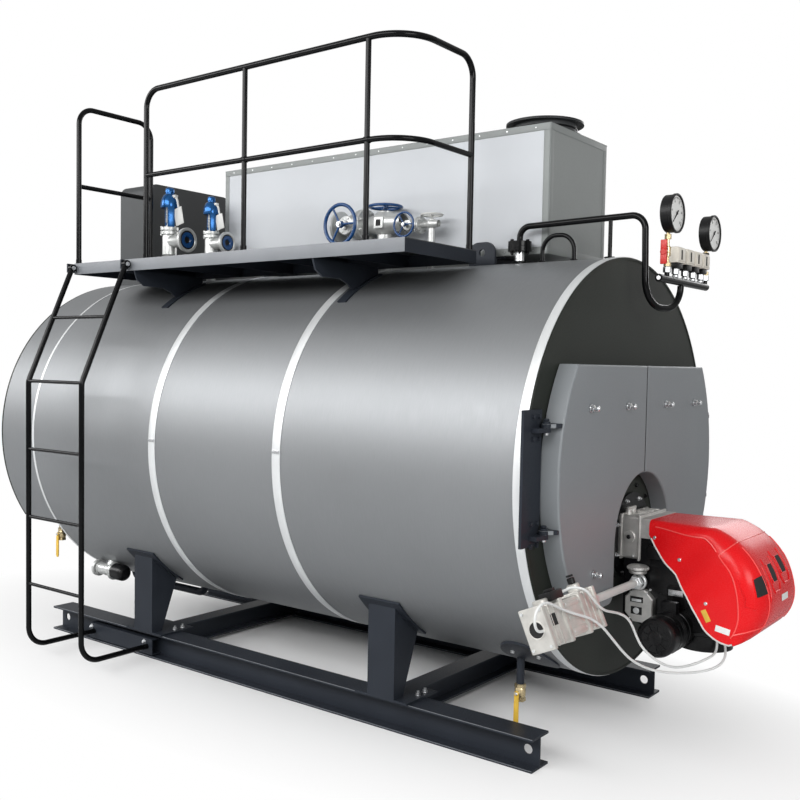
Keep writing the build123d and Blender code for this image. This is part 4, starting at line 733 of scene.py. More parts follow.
def gas_valve():
    """The gas valve: a ribbed casting with flanged ends, black plugs on top and a dark window."""
    piece = Piece("gas_valve_casting", valve_pale)
    centre = Vector((0, at(-0.212), 0.87))
    tilt = Matrix.Translation(centre) @ spun(-24, "X")
    left, right = -1.33, -0.84
    centre_x = (left + right) / 2
    top, front = 0.083, -0.054
    left_end = Vector((left, centre.y, centre.z))
    piece.box((right - left - 0.02, 0.104, 0.166), tilt @ moved(centre_x), 0.012)
    for x in (left + 0.012, left + 0.17, right - 0.15, right - 0.012):
        piece.box((0.024, 0.12, 0.19), tilt @ moved(x), 0.006)
    for x in (left + 0.06, left + 0.1, right - 0.06, right - 0.1):
        piece.box((0.01, 0.11, 0.176), tilt @ moved(x), 0.003)
    for z in (-0.055, 0.0, 0.055):
        piece.box((0.13, 0.008, 0.02), tilt @ moved(centre_x + 0.01, front, z), 0.003)
    piece.box((0.15, 0.01, 0.15), tilt @ moved(centre_x + 0.01, front + 0.005, 0), 0.003)
    for x, radius, length, edge in ((left + 0.1, 0.034, 0.03, 0.005), (right - 0.075, 0.03, 0.045, 0.005),
                                    (centre_x - 0.03, 0.026, 0.02, 0.004)):
        piece.disc(tilt @ moved(x, 0, top), radius, length, edge)
    piece.lathe([(0.034, 0), (0.034, 0.03), (0.029, 0.036), (0.029, 0.06), (0.034, 0.066), (0.034, 0.105)],
                turned((right, at(-0.165), 0.878), RIGHT))
    piece.disc(turned(left_end + RIGHT * 0.005, LEFT), 0.052, 0.0045, 0.001, inner=0.026, segments=36)
    piece.use(bright_steel)
    for x, out in ((left, LEFT), (right, RIGHT)):
        for y in (-0.045, 0.045):
            for z in (-0.078, 0.078):
                piece.bolt(tilt @ turned((x, y, z), out), 0.008, washer=False)
    for x in (centre_x - 0.045, centre_x + 0.065):
        for z in (-0.06, 0.06):
            piece.bolt(tilt @ turned((x, front, z), FRONT), 0.006, washer=False)
    piece.use(black_plastic)
    piece.box((0.11, 0.06, 0.04), tilt @ moved(-1.16, -0.02, 0.112), 0.005)
    piece.box((0.05, 0.03, 0.014), tilt @ moved(-1.16, -0.02, 0.137), 0.003)
    piece.disc(tilt @ moved(right - 0.075, 0, top + 0.045), 0.018, 0.03, 0.004)
    piece.torus(tilt @ moved(right - 0.075, 0, top + 0.083), 0.012, 0.005, 24)
    piece.disc(turned((-1.117, -2.264, 0.984), RIGHT), 0.013, 0.02, 0.003)
    piece.use(dark_parts_and_painted_shade)
    piece.box((0.05, 0.004, 0.05), tilt @ moved(left + 0.08, -0.0525, 0.02), 0.001)
    # A dark disc over the left flange's open bore: painted shade.
    piece.disc(turned(left_end + LEFT * hair, RIGHT), 0.034, 0.003, segments=36)
    piece.use(valve_pale)
    piece.torus(turned(left_end + RIGHT * 0.0015, RIGHT), 0.037, 0.004, 40)
    piece.finish("boiler", ["gas_valve"])


hood()
motor()
housing_details()
casting_details()
gas_cover()
gas_pipe_fittings()
gas_valve()


# Valves on the shell

fitting_x = -0.172
run_z = shell_high.z + 0.271
branch_z = run_z - 0.026
main_y = at(1.529)
outlet_y = at(1.781)
branch_y = at(1.334)
air_y = at(1.183)
main_joint_y = at(1.69)
branch_joint_y = at(1.265)
branch_end_y = branch_y + 0.072
valve_foot_z = top_of_shell(fitting_x) - 0.01
# Each flange's radius, thickness and bolt circle, and the number and size of its bolts.
large_flange = (0.1, 0.022, 0.08, 8, 0.014)
small_flange = (0.052, 0.01, 0.041, 4, 0.009)


def safety_valve(piece, place, scale):
    """A spring safety valve: silver body and side outlet, open yoke, blue bonnet and cap, and its lever."""
    foot = moved(fitting_x, at(place), top_of_shell(fitting_x)) @ Matrix.Scale(scale, 4)
    piece.use(valve_silver)
    piece.lathe([(0.036, -0.02 / scale), (0.036, 0.07), (0.078, 0.07), (0.078, 0.108), (0.036, 0.108),
                 (0.036, 0.19), (0.052, 0.205), (0.052, 0.33), (0.05, 0.345), (0.066, 0.35), (0.066, 0.372),
                 (0.05, 0.373), (0.05, 0.379), (0.066, 0.38), (0.066, 0.4), (0.05, 0.404), (0.03, 0.412),
                 (0, 0.414)], foot, 36)
    for spot in ring_places(6, 0.058, 30):
        piece.bolt(foot @ spot @ moved(0, 0, 0.4), 0.009)
        piece.bolt(foot @ spot @ moved(0, 0, 0.35) @ spun(180, "X"), 0.009)
    for spot in ring_places(4, 0.063, 45):
        piece.bolt(foot @ spot @ moved(0, 0, 0.108), 0.012)
    piece.disc(foot @ moved(0, 0, 0.41), 0.02, 0.03, 0.004)
    for number in range(7):
        piece.torus(foot @ moved(0, 0, 0.442 + number * 0.013), 0.024, 0.005, 24)
    piece.disc(foot @ moved(0, 0, 0.53), 0.028, 0.03, 0.004)
    outlet = foot @ turned((0, 0, 0.3), FRONT)
    for material, profile in (
            (valve_silver, [(0.046, 0.0), (0.046, 0.15), (0.05, 0.172), (0.086, 0.177), (0.088, 0.181),
                            (0.088, 0.198), (0.084, 0.201), (0.07, 0.201), (0.066, 0.196)]),
            (black_plastic, [(0.066, 0.196), (0.06, 0.196), (0.056, 0.199)]),
            (valve_blue, [(0.056, 0.199), (0.03, 0.199), (0.024, 0.19)]),
            (black_plastic, [(0.024, 0.19), (0.012, 0.187), (0, 0.187)])):
        piece.use(material)
        piece.lathe(profile, outlet, 40)
    piece.use(bonnet_blue)
    for turn in (60, 240):
        piece.box((0.02, 0.05, 0.15), foot @ spun(turn) @ moved(0.055, 0, 0.475), 0.006)
    piece.lathe([(0.03, 0.54), (0.064, 0.542), (0.066, 0.55), (0.064, 0.585), (0.058, 0.61), (0.047, 0.632),
                 (0.036, 0.642), (0.03, 0.645), (0.03, 0.652), (0.034, 0.655), (0.034, 0.672), (0.03, 0.684),
                 (0.02, 0.69), (0, 0.691)], foot, 36)
    piece.hexagon(foot @ moved(0, 0, 0.644), 0.058, 0.014)
    piece.use(pale_paint)
    lever = [foot @ Vector((0, y, z))
             for y, z in ((-0.05, 0.625), (-0.082, 0.6), (-0.108, 0.5), (-0.135, 0.43))]
    piece.tube(rounded(lever, [0.03, 0.1]), 0.008 * scale, 10)
    piece.box((0.03, 0.06, 0.022), foot @ moved(0, -0.045, 0.622), 0.005)
    piece.box((0.005, 0.085, 0.125), foot @ moved(-0.008, -0.11, 0.475) @ spun(-14, "X"), 0.002)


def safety_valves():
    piece = Piece("safety_valve_pair", valve_silver)
    safety_valve(piece, 3.527, 1.0)
    safety_valve(piece, 3.08, 0.85)
    piece.finish("boiler", ["safety_valves"])


def flange(piece, place, radius, thickness, circle, count, size):
    """A round flange whose face is at the placement, with its nuts on the far side."""
    piece.disc(place @ moved(0, 0, -thickness), radius, thickness, 0.003, segments=40)
    for spot in ring_places(count, circle, 180 / count):
        piece.bolt(place @ spot @ moved(0, 0, -thickness) @ spun(180, "X"), size, 0.006)


def flange_pair(piece, point, direction, sizes):
    """Two flanges face to face at a point, a hair apart."""
    for out in (direction, -direction):
        flange(piece, turned(point - out * 0.001, out), *sizes)


def globe_body(piece, y, z, radius, pipe, half):
    """The swelling body of a globe valve that lies along Y."""
    side = [(pipe, half), (pipe, half * 0.72), (radius * 0.72, radius * 0.66), (radius * 0.93, radius * 0.36)]
    piece.lathe([(wide, -height) for wide, height in side] + [(radius, 0)] + side[2:][::-1] + side[1::-1],
                turned((fitting_x, y, z), BACK), 40)


def main_valve():
    """The large steam valve on its nozzle, with its branch to the small valves."""
    piece = Piece("main_valve_body", valve_silver)
    centre = Vector((fitting_x, main_y, run_z))
    globe_body(piece, main_y, run_z, 0.084, 0.05, 0.14)
    piece.lathe([(0.046, valve_foot_z), (0.046, run_z - 0.06), (0.062, run_z - 0.045), (0, run_z - 0.03)],
                (fitting_x, main_y, 0))
    flange_pair(piece, Vector((fitting_x, main_y, 2.64)), UP, large_flange)
    flange(piece, turned((fitting_x, main_joint_y - 0.001, run_z), BACK), *large_flange)
    piece.disc(turned((fitting_x, main_y + 0.08, run_z), BACK), 0.046, 0.08)
    piece.lathe([(0.06, 0.0), (0.058, 0.045), (0.05, 0.052), (0.05, 0.068), (0.03, 0.071), (0, 0.071)],
                centre, 32)
    for spot in ring_places(6, 0.041):
        piece.bolt(placed(centre) @ spot @ moved(0, 0, 0.068), 0.008, washer=False)
    window = turned(centre + Vector((-0.079, -0.012, -0.004)), (-1, -0.15, 0.05), UP)
    piece.box((0.062, 0.07, 0.016), window, 0.006)
    piece.use(dark_parts_and_painted_shade)
    piece.box((0.034, 0.04, 0.006), window @ moved(0, 0, 0.0065), 0.003)
    piece.use(valve_silver)
    branch = turned((fitting_x, branch_end_y, branch_z), BACK)
    piece.disc(branch, 0.02, main_y - 0.07 - branch_end_y)
    piece.hexagon(branch @ moved(0, 0, 0.004), 0.056, 0.022)
    piece.finish("boiler", ["main_steam_valve"])


def outlet_valve():
    """The steam outlet valve, flanged at both ends, with its bonnet towards the platform."""
    piece = Piece("outlet_valve_body", valve_silver)
    globe_body(piece, outlet_y, run_z, 0.074, 0.05, 0.09)
    flange(piece, turned((fitting_x, main_joint_y + 0.001, run_z), FRONT), *large_flange)
    end = turned((fitting_x, at(1.89), run_z), BACK)
    piece.lathe([(0.05, -0.03), (0.05, -0.022), (0.1, -0.021), (0.1, -0.001), (0.098, 0), (0.068, 0),
                 (0.067, 0.001), (0.04, 0.001), (0.04, -0.06), (0, -0.06)], end, 40)
    # A bright rim and a dark disc of painted shade at each bolt hole of the end flange.
    for material, out, radius, length in ((valve_silver, -0.0005, 0.009, 0.001),
                                          (dark_parts_and_painted_shade, 0.0004, 0.0085, 0.0006)):
        piece.use(material)
        for spot in ring_places(8, 0.08, 22.5):
            piece.disc(end @ spot @ moved(0, 0, out), radius, length, segments=18)
    piece.use(valve_silver)
    bonnet = turned((fitting_x, outlet_y, run_z), LEFT)
    piece.lathe([(0.05, 0.03), (0.05, 0.066), (0.056, 0.068), (0.056, 0.078), (0.03, 0.08), (0.026, 0.09),
                 (0, 0.09)], bonnet, 32)
    for spot in ring_places(6, 0.045):
        piece.bolt(bonnet @ spot @ moved(0, 0, 0.077), 0.008, washer=False)
    piece.finish("boiler", ["outlet_steam_valve"])


def small_valves():
    """The two small valves on their own nozzle, in front of the large one."""
    piece = Piece("small_valve_bodies", valve_silver)
    globe_body(piece, branch_y, branch_z, 0.04, 0.02, 0.07)
    globe_body(piece, air_y, branch_z, 0.033, 0.02, 0.05)
    piece.disc(turned((fitting_x, air_y, branch_z), BACK), 0.02, branch_end_y - air_y)
    flange_pair(piece, Vector((fitting_x, branch_joint_y, branch_z)), BACK, small_flange)
    piece.lathe([(0.022, 0.0), (0.022, 0.03), (0.03, 0.031), (0.03, 0.04), (0.016, 0.042), (0.015, 0.054),
                 (0, 0.054)], turned((fitting_x, branch_y, branch_z), LEFT), 24)
    piece.lathe([(0.02, valve_foot_z), (0.02, branch_z - 0.02), (0, branch_z)], (fitting_x, air_y, 0), 24)
    piece.lathe([(0.02, 0), (0.02, 0.018), (0.024, 0.019), (0.024, 0.026), (0.016, 0.028), (0.013, 0.033),
                 (0, 0.033)], (fitting_x, air_y, branch_z), 24)
    flange_pair(piece, Vector((fitting_x, air_y, 2.65)), UP, small_flange)
    piece.lathe([(0.02, 0), (0.02, 0.028), (0, 0.03)], turned((fitting_x, air_y, branch_z), FRONT), 24)
    piece.finish("boiler", ["small_steam_valves"])


def wheel_nut(node, size):
    """The bright nut that holds a hand wheel on its stem."""
    piece = Piece(node + "_nut", zinc)
    low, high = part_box(node)
    centre = middle(node)
    axis = Vector(joints[node]["axis"])
    out = axis if axis.z > 0.5 or axis.x < -0.5 else -axis
    place = turned((centre.x, centre.y, high.z) if out.z > 0.5 else (low.x, centre.y, centre.z), out)
    piece.disc(place @ moved(0, 0, -0.003), size * 0.95, 0.0035, 0.001)
    piece.hexagon(place, size * 1.2, size * 0.5)
    piece.finish(node)


safety_valves()
main_valve()
outlet_valve()
small_valves()
wheel_nut("steam_outlet_wheel", 0.02)
wheel_nut("main_steam_wheel", 0.018)
wheel_nut("branch_wheel", 0.013)
wheel_nut("air_wheel", 0.012)


# Gauges and controllers

header_y = at(-0.2)
header_z = shell_high.z - 0.119
cock_top = shell_high.z - 0.054
left_gauge_x = -0.03
right_gauge_x = 0.516


def gauge(node, x, z, handle):
    """A round dial gauge: black case, white dial with its marks and pointer, and the brass cock below."""
    piece = Piece(node + "_dial", black_plastic)
    place = turned((x, at(-0.19), z), FRONT, UP)
    dial_radius, dial_face = 0.089, 0.052
    piece.lathe([(0, 0), (0.094, 0), (0.096, 0.003), (0.096, 0.044), (0.1, 0.046), (0.1, 0.058),
                 (0.097, 0.06), (0.091, 0.06), (dial_radius, dial_face)], place, 56)
    piece.use(dial_white)
    piece.lathe([(dial_radius, dial_face), (0, dial_face)], place, 56)
    piece.use(dark_parts_and_painted_shade)
    marks = 50
    for number in range(marks + 1):
        length, width = (0.006, 0.0012) if number % 5 else (0.012, 0.0022)
        piece.box((length, width, 0.0008),
                  place @ spun(-45 + number * 270 / marks) @ moved(0.082 - length / 2, 0, 0.0524))
    piece.tube([place @ spun(225) @ Vector((reach, 0, 0.0548)) for reach in (-0.02, 0.0, 0.04, 0.068)],
               [0.0035, 0.0032, 0.0022, 0.0008], 8)
    piece.disc(place @ moved(0, 0, 0.0525), 0.008, 0.0045, 0.001)
    for label in range(0, 11, 2):
        turn = math.radians(225 - label * 27)
        number_on_dial(node, label, place @ moved(0.062 * math.cos(turn), 0.062 * math.sin(turn), 0.0526))
    piece.use(brass)
    height = z - 0.1 - cock_top
    piece.disc((x, header_y, cock_top), 0.009, height + 0.005)
    piece.hexagon((x, header_y, cock_top), 0.032, 0.02)
    piece.hexagon((x, header_y, z - 0.128), 0.03, 0.026)
    piece.disc((x, header_y, cock_top + height * 0.3), 0.016, height * 0.32, 0.004)
    if handle:
        cock = turned((x, header_y, cock_top + height * 0.42), LEFT, UP)
        piece.disc(cock, 0.01, 0.045, 0.002)
        piece.use(handle_red)
        for side in SIDES:
            piece.box((0.034, 0.056, 0.014), cock @ moved(0, side * 0.034, 0.05), 0.005)
        piece.disc(cock @ moved(0, 0, 0.042), 0.018, 0.018, 0.004)
    piece.finish("boiler", [node])


def number_on_dial(node, label, place):
    """A plain number printed on a dial."""
    data = bpy.data.curves.new(f"{node}_number_{label}", "FONT")
    data.body = str(label * 2)
    data.size = 0.017
    data.extrude = 0.0002
    data.resolution_u = 2
    data.align_x = "CENTER"
    data.align_y = "CENTER"
    data.materials.append(dark_parts_and_painted_shade)
    made = add_object(data.name, data)
    made.matrix_world = place
    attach(made, "boiler")


def controllers():
    """The row of pressure controllers: pale cases with a scale window, on black bases and plated nuts."""
    piece = Piece("controller_row", case_beige)
    low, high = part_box("pressure_controllers")
    case_z = high.z - 0.042
    for x in (0.083, 0.213, 0.325, 0.443):
        piece.use(case_beige)
        piece.box((0.098, 0.062, 0.082), (x, header_y, case_z), 0.007)
        piece.box((0.084, 0.006, 0.064), (x, low.y - 0.001, case_z), 0.0025)
        piece.use(dark_parts_and_painted_shade)
        piece.box((0.016, 0.004, 0.05), (x - 0.008, low.y - 0.0035, case_z), 0.001)
        piece.use(black_plastic)
        piece.box((0.07, 0.05, 0.028), (x, header_y, low.z + 0.013), 0.004)
        piece.disc((x + 0.03, header_y, high.z - 0.001), 0.011, 0.0009, 0.0002)
        piece.use(zinc)
        piece.hexagon((x, header_y, low.z - 0.03), 0.034, 0.028)
        piece.disc((x, header_y, low.z - 0.048), 0.017, 0.014, 0.003)
    piece.disc(turned((-0.135, header_y, header_z), LEFT), 0.011, 0.0035, 0.001)
    for x in (left_gauge_x, right_gauge_x):
        piece.hexagon((x, header_y, cock_top - 0.03), 0.036, 0.028)
    piece.use(bright_steel)
    piece.disc((right_gauge_x, header_y, cock_top + 0.03), 0.024, 0.07, 0.005)
    piece.use(black_plastic)
    piece.disc((right_gauge_x, header_y, cock_top + 0.1), 0.019, 0.024, 0.004)
    piece.finish("boiler", ["pressure_controllers"])


gauge("gauge_left", left_gauge_x, cock_top + 0.267, True)
gauge("gauge_right", right_gauge_x, cock_top + 0.228, False)
controllers()


# Shell, doors and casings

door_radius = 0.96
door_face_y = at(-0.103)
hinge_heights = (1.69, 1.206)
hinge_pin_x = 0.982
hinge_pin_y = at(-0.044)
ladder_places = (2.99, 3.562)


def bands():
    """The bright bands round the cladding, each closed by a small screw clamp."""
    piece = Piece("shell_bands_bright", bright_steel)
    low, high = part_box("shell_bands")
    inner, radius = shell_radius + hair, (high.x - low.x) / 2
    for place, width in ((0.005, 0.048), (1.492, 0.06), (2.532, 0.06)):
        piece.lathe([(inner, 0), (radius - 0.001, 0), (radius, 0.002), (radius, width - 0.002),
                     (radius - 0.001, width), (inner, width), (inner, 0)],
                    turned((0, at(place), shell_axis_z), BACK), 200)
    piece.use(zinc)
    for place in (1.522, 2.562):
        spot = on_shell(2, at(place), radius - shell_radius)
        piece.box((0.02, 0.05, 0.008), spot @ moved(0, 0, 0.003), 0.002)
        for y in (-0.017, 0.017):
            piece.bolt(spot @ moved(0, y, 0.006), 0.006)
    piece.finish("boiler", ["shell_bands"])


def shell_trims():
    """Bright edge strips at the shell's rear end and round the rear smoke box."""
    piece = Piece("shell_trims", bright_steel)
    rear = at(3.825)
    inner, outer, rim = shell_radius + hair, shell_radius + 0.0025, 0.0055
    piece.lathe([(inner, 0), (outer, 0.001), (outer, 0.019), (inner, 0.02), (inner, 0)],
                turned((0, rear - 0.02, shell_axis_z), BACK), 160)
    half = math.degrees(math.asin((shell_axis_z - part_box("rear_smoke_box")[0].z) / shell_radius))
    centre = Vector((0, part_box("rear_cover")[1].y - 0.006, shell_axis_z))
    turns = [math.radians(-half + (180 + 2 * half) * number / 120) for number in range(121)]
    arc = [Vector((-math.cos(turn), 0, math.sin(turn))) * (shell_radius - 0.006) + centre for turn in turns]
    piece.tube(arc, rim, 8)
    first, last = arc[0], arc[-1]
    piece.tube([Vector((first.x, rear + 0.01, first.z)), first, last,
                Vector((last.x, rear + 0.01, last.z))], rim, 8)
    piece.finish("boiler")


def door_details(side):
    """Clamp nuts, hinge arms and knuckle covers of one front door, and the seal between the two."""
    node = "door_left" if side < 0 else "door_right"
    piece = Piece(node + "_clamps", zinc)
    for x, z in ((0.248, 1.773), (0.663, 1.773), (0.59, 0.97)):
        spot = turned((side * x, door_face_y, z), FRONT)
        piece.use(zinc)
        piece.disc(spot, 0.0195, 0.0095, 0.001)
        piece.disc(spot, 0.0095, 0.0465, 0.002)
        piece.hexagon(spot @ moved(0, 0, 0.012), 0.026, 0.01)
        piece.disc(spot @ moved(0, 0, 0.032), 0.0135, 0.0175, 0.006)
        piece.use(pale_paint)
        piece.box((0.046, 0.007, 0.007), spot @ moved(0, 0, 0.027) @ spun(-40), 0.003)
    if side < 0:
        low, high = 1.426, 1.976
        piece.use(black_plastic)
        piece.box((0.0066, 0.02, high - low), (-0.0004, door_face_y + 0.012, (low + high) / 2), 0.0008)
    piece.use(skid_paint)
    for height in hinge_heights:
        edge = math.sqrt(door_radius**2 - (height - shell_axis_z) ** 2)
        outer, inner, front, back = door_radius - hair, edge - 0.0165, at(-0.095), at(-0.0315)
        arm = [(side * outer, at(-0.084)), (side * (edge + 0.016), front), (side * inner, front),
               (side * inner, back), (side * outer, back)]
        piece.prism(arm[::-side], 0.0195, (0, 0, height + 0.0003), 0.002)
        piece.lathe([(0.0222, 0.0006), (0.0229, 0.0012), (0.0229, 0.017), (0.0222, 0.0176), (0.0222, 0.0006)],
                    (side * hinge_pin_x, hinge_pin_y, height), 32)
    piece.finish(node)


def hinge_details():
    """Bolts on the hinge plates, and caps on the hinge pins."""
    piece = Piece("hinge_bolts", skid_paint)
    for side in SIDES:
        for height in hinge_heights:
            piece.use(skid_paint)
            piece.disc((side * hinge_pin_x, hinge_pin_y, height + 0.03), 0.014, 0.012, 0.004)
            for x in (0.995, 1.05):
                for z in (height - 0.05, height + 0.05):
                    piece.bolt(turned((side * x, at(-0.014), z), FRONT), 0.012)
            piece.use(zinc)
            piece.disc((side * hinge_pin_x, hinge_pin_y, height - 0.0335), 0.0113, 0.0125, 0.002)
    piece.finish("boiler")


def front_plate_details():
    """The seam ring at the front plate's edge, and the dark plate and bolts inside the furnace mouth."""
    piece = Piece("front_plate_bolts", plate_paint)
    inner, outer, thick = shell_radius - 0.012, shell_radius - 0.001, 0.003
    piece.lathe([(inner, hair), (outer, hair), (outer, thick), (inner, thick), (inner, hair)],
                turned((0, at(0.0), shell_axis_z), FRONT), 160)
    mouth = turned((0, at(-0.024), mouth_z), FRONT)
    piece.use(burner_black)
    piece.lathe([(0.2306, 0.0005), (0.2306, 0.0146), (0, 0.0146)], mouth, 72)
    for spot in ring_places(12, 0.27, 15):
        piece.bolt(mouth @ spot, 0.012, 0.006)
    piece.finish("boiler")


def economiser_panels():
    """Side and front sheets of the economiser, each framed by a trim, with rivets along the sides."""
    piece = Piece("economiser_panels", casing_sheet)
    low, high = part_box("economiser_casing")
    centre = (low + high) / 2
    size = high - low
    thick, trim, inset = 0.002, 0.036, 0.02
    levels = (low.z + inset, high.z - inset)
    for x, side in ((low.x, -1), (high.x, 1)):
        sheet_x = x + side * thick / 2
        piece.use(casing_sheet)
        piece.box((thick, size.y - 0.08, size.z - 0.08), (sheet_x, centre.y, centre.z), 0.0008)
        piece.use(casing_paint)
        for z in levels:
            piece.box((2.5 * thick, size.y - 0.002, trim), (sheet_x, centre.y, z), 0.001)
        for y in (low.y + inset, high.y - inset):
            piece.box((2.5 * thick, trim, size.z - 0.078), (sheet_x, y, centre.z), 0.001)
        piece.use(zinc)
        for number in range(14):
            y = low.y + 0.09 + number * (size.y - 0.18) / 13
            for z in levels:
                rivet = turned((x + side * 2.4 * thick, y, z), (side, 0, 0))
                piece.disc(rivet, 0.004, 0.002, 0.001, segments=10)
    piece.use(casing_paint)
    for z in levels:
        piece.box((size.x - 0.004, 0.0045, trim), (centre.x, low.y, z), 0.001)
    for x in (low.x + inset, high.x - inset):
        piece.box((trim, 0.005, size.z - 0.078), (x, low.y, centre.z), 0.001)
    piece.box((size.x + 0.006, size.y + 0.006, 0.006), (centre.x, centre.y, high.z - 0.0025), 0.002)
    piece.finish("boiler")


def chimney_flange():
    """The flue collar's flange: a rolled edge and a ring of bolts at its foot."""
    piece = Piece("chimney_flange_trim", rail_paint)
    low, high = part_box("economiser_outlet")
    centre = middle("economiser_outlet")
    for z, radius, rim in ((high.z - 0.006, 0.2225, 0.006), (high.z - 0.004, 0.1835, 0.004),
                           (low.z + 0.045, 0.187, 0.005)):
        piece.torus((centre.x, centre.y, z), radius, rim, 72)
    piece.use(zinc)
    for spot in ring_places(16, 0.203):
        piece.bolt(moved(centre.x, centre.y, low.z + 0.012) @ spot, 0.008)
    piece.finish("boiler")


def skid_details():
    """Bolts through the saddles' foot plates and the ladder anchor's bolts."""
    piece = Piece("skid_bolts_and_edges", zinc)
    for place in (1.016, 3.013):
        for x in (-0.65, -0.585, 0.585, 0.65):
            for end in (-0.142, 0.142):
                piece.bolt((x, at(place) + end, 0.178), 0.016, 0.012)
    for place in ladder_places:
        piece.bolt(turned((-0.785, at(place) + 0.028, 0.1), LEFT), 0.014, 0.006)
    piece.finish("boiler")


def lit_edges():
    """Thin pale strips of painted highlight on the platform's outer side and along the skid beams' flanges.
    """
    piece = Piece("painted_highlight_edges", painted_highlight_grey)
    low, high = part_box("platform_deck")
    height, line = 0.0735, 0.003
    piece.box((0.002, high.y - low.y - 0.002, height),
              (low.x - 0.0004, (low.y + high.y) / 2, high.z - height / 2), 0.0008)
    for beam in ("skid_beam_left", "skid_beam_right"):
        low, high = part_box(beam)
        for x in (low.x, high.x):
            for z in (high.z - line / 2, low.z + 0.0095):
                piece.box((line / 3, high.y - low.y, line), (x, (low.y + high.y) / 2, z), 0.0003)
    piece.finish("boiler")


def rail_feet():
    """Collars where the railings stand on the deck, and sleeves on the outer railing's middle rail."""
    piece = Piece("rail_feet", rail_paint)
    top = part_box("platform_deck")[1].z
    outer, inner = -0.918, -0.319
    for x, place in ((outer, 2.855), (outer, 1.074), (outer, 1.979), (inner, 0.822), (outer, 3.56),
                     (inner, 3.56)):
        piece.disc((x, at(place), top), 0.019, 0.03, 0.004)
        piece.disc((x, at(place), top), 0.0195, 0.006, 0.001)
    for place in (1.074, 1.979):
        piece.disc(turned((outer, at(place) - 0.02, 3.12), BACK), 0.0185, 0.04, 0.003)
    piece.finish("boiler")


pipe_x = -0.13
pipe_top = top_of_shell(pipe_x)


def siphon_details():
    """Bolts of the siphon's flanges, its plated post and the weld rings at its feet."""
    piece = Piece("siphon_bolts", rail_paint)
    base = shell_high.z + 0.056
    y = at(0.612)
    for spot in ring_places(6, 0.049, 30):
        for z, way, stud in ((base + 0.055, 0, 0.0), (base + 0.001, 180, 0.006)):
            piece.bolt(moved(pipe_x, y, z) @ spot @ spun(way, "X"), 0.012, stud)
    piece.torus((pipe_x, y, base + 0.028), 0.062, 0.0035, 48)
    piece.use(zinc)
    piece.disc((pipe_x, y, pipe_top), 0.0265, base - pipe_top, 0.0005)
    piece.use(rail_paint)
    piece.disc((pipe_x, y, pipe_top + 0.001), 0.045, 0.008, 0.002)
    piece.disc((pipe_x, at(0.072), pipe_top + 0.001), 0.03, 0.006, 0.002)
    piece.finish("boiler")


def loop_feet():
    """A weld ring at each foot of the loop pipe."""
    piece = Piece("weld_rings", rail_paint)
    for place in (0.278, 0.469):
        piece.disc((pipe_x, at(place), pipe_top), 0.02, 0.006, 0.002)
    piece.finish("boiler")


def drains():
    """Brass ball valves of the drains, with their hex ends, and sleeves on their levers."""
    for node, lever, x, y, top, bottom in (
            ("front_drain_valve", "front_drain_lever", -0.5, at(0.33), 0.322, 0.235),
            ("rear_drain_valve", "rear_drain_lever", -0.75, at(4.0), 0.74, 0.655)):
        piece = Piece(node, brass)
        centre_z = (top + bottom) / 2
        for z in (top - 0.018, bottom - 0.002):
            piece.hexagon((x, y, z), 0.052, 0.02, 0.003)
        piece.lathe([(0.0245, bottom + 0.016), (0.029, bottom + 0.026), (0.029, top - 0.026),
                     (0.0245, top - 0.016)], (x, y, 0))
        piece.disc(turned((x - 0.02, y, centre_z), LEFT), 0.0135, 0.0125, 0.002)
        piece.finish("boiler")
        sleeve = Piece(lever + "_sleeve", yellow_sleeve)
        sleeve.box((0.0085, 0.0285, 0.108), (x - 0.0365, y, centre_z - 0.1), 0.004)
        sleeve.use(zinc)
        sleeve.hexagon(turned((x - 0.039, y, centre_z), LEFT), 0.016, 0.006)
        sleeve.finish(lever)
    piece = Piece("drain_pad_bolts", zinc)
    pad = 0.01
    for place in (0.16, 0.31):
        piece.bolt(on_shell(-math.degrees(math.acos(0.62 / (shell_radius + pad))), at(place), pad), 0.012)
    piece.finish("boiler")


def blowdown():
    """Body rings, flange bolts and the black cap of the blowdown valve."""
    piece = Piece("blowdown_rings", valve_silver)
    x, z = -0.64, 0.475
    for start, radius, width in ((3.53, 0.063, 0.01), (3.6, 0.043, 0.012), (3.68, 0.046, 0.01)):
        piece.disc(turned((x, at(start), z), BACK), radius, width, 0.002)
    piece.use(zinc)
    for spot in ring_places(6, 0.05):
        piece.bolt(turned((x, at(3.53), z), FRONT) @ spot, 0.008)
    piece.use(burner_black)
    cap_radius, cap_length, corner = 0.0568, 0.1172, 0.0395
    bend = [(cap_radius - corner + corner * math.cos(turn), cap_length - corner + corner * math.sin(turn))
            for turn in (math.radians(9 * number) for number in range(11))]
    piece.lathe([(cap_radius, 0), *bend, (0, cap_length)], turned((x, at(3.516), z), FRONT), 40)
    piece.finish("boiler")


def ladder_details():
    """Pins through the ladder's eyes."""
    piece = Piece("ladder_pins", zinc)
    for place in ladder_places:
        for way, shift in ((FRONT, -0.017), (BACK, 0.027)):
            piece.bolt(turned((-0.968, at(place) + shift, 2.57), way), 0.013)
    piece.finish("boiler")


def rear_cover_bolts():
    """Small flat bolts round the rear cover's edge and along its foot."""
    piece = Piece("rear_cover_bolts", zinc)
    low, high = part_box("rear_cover")
    radius = shell_radius - 0.06
    foot_z = low.z + 0.05
    count = 30
    turns = [math.radians(360 * number / count) for number in range(count)]
    spots = [(radius * math.cos(turn), shell_axis_z + radius * math.sin(turn)) for turn in turns]
    reach = math.sqrt(radius**2 - (shell_axis_z - foot_z) ** 2)
    for x, z in ([(x, z) for x, z in spots if z > foot_z + 0.04]
                 + [(reach * (number / 4 - 1), foot_z) for number in range(9)]):
        piece.disc(turned((x, high.y, z), BACK), 0.009, 0.003, 0.001)
    piece.finish("boiler")


bands()
shell_trims()
door_details(-1)
door_details(1)
hinge_details()
front_plate_details()
economiser_panels()
chimney_flange()
skid_details()
lit_edges()
rail_feet()
siphon_details()
drains()
blowdown()
ladder_details()
rear_cover_bolts()
loop_feet()


# Burner cables

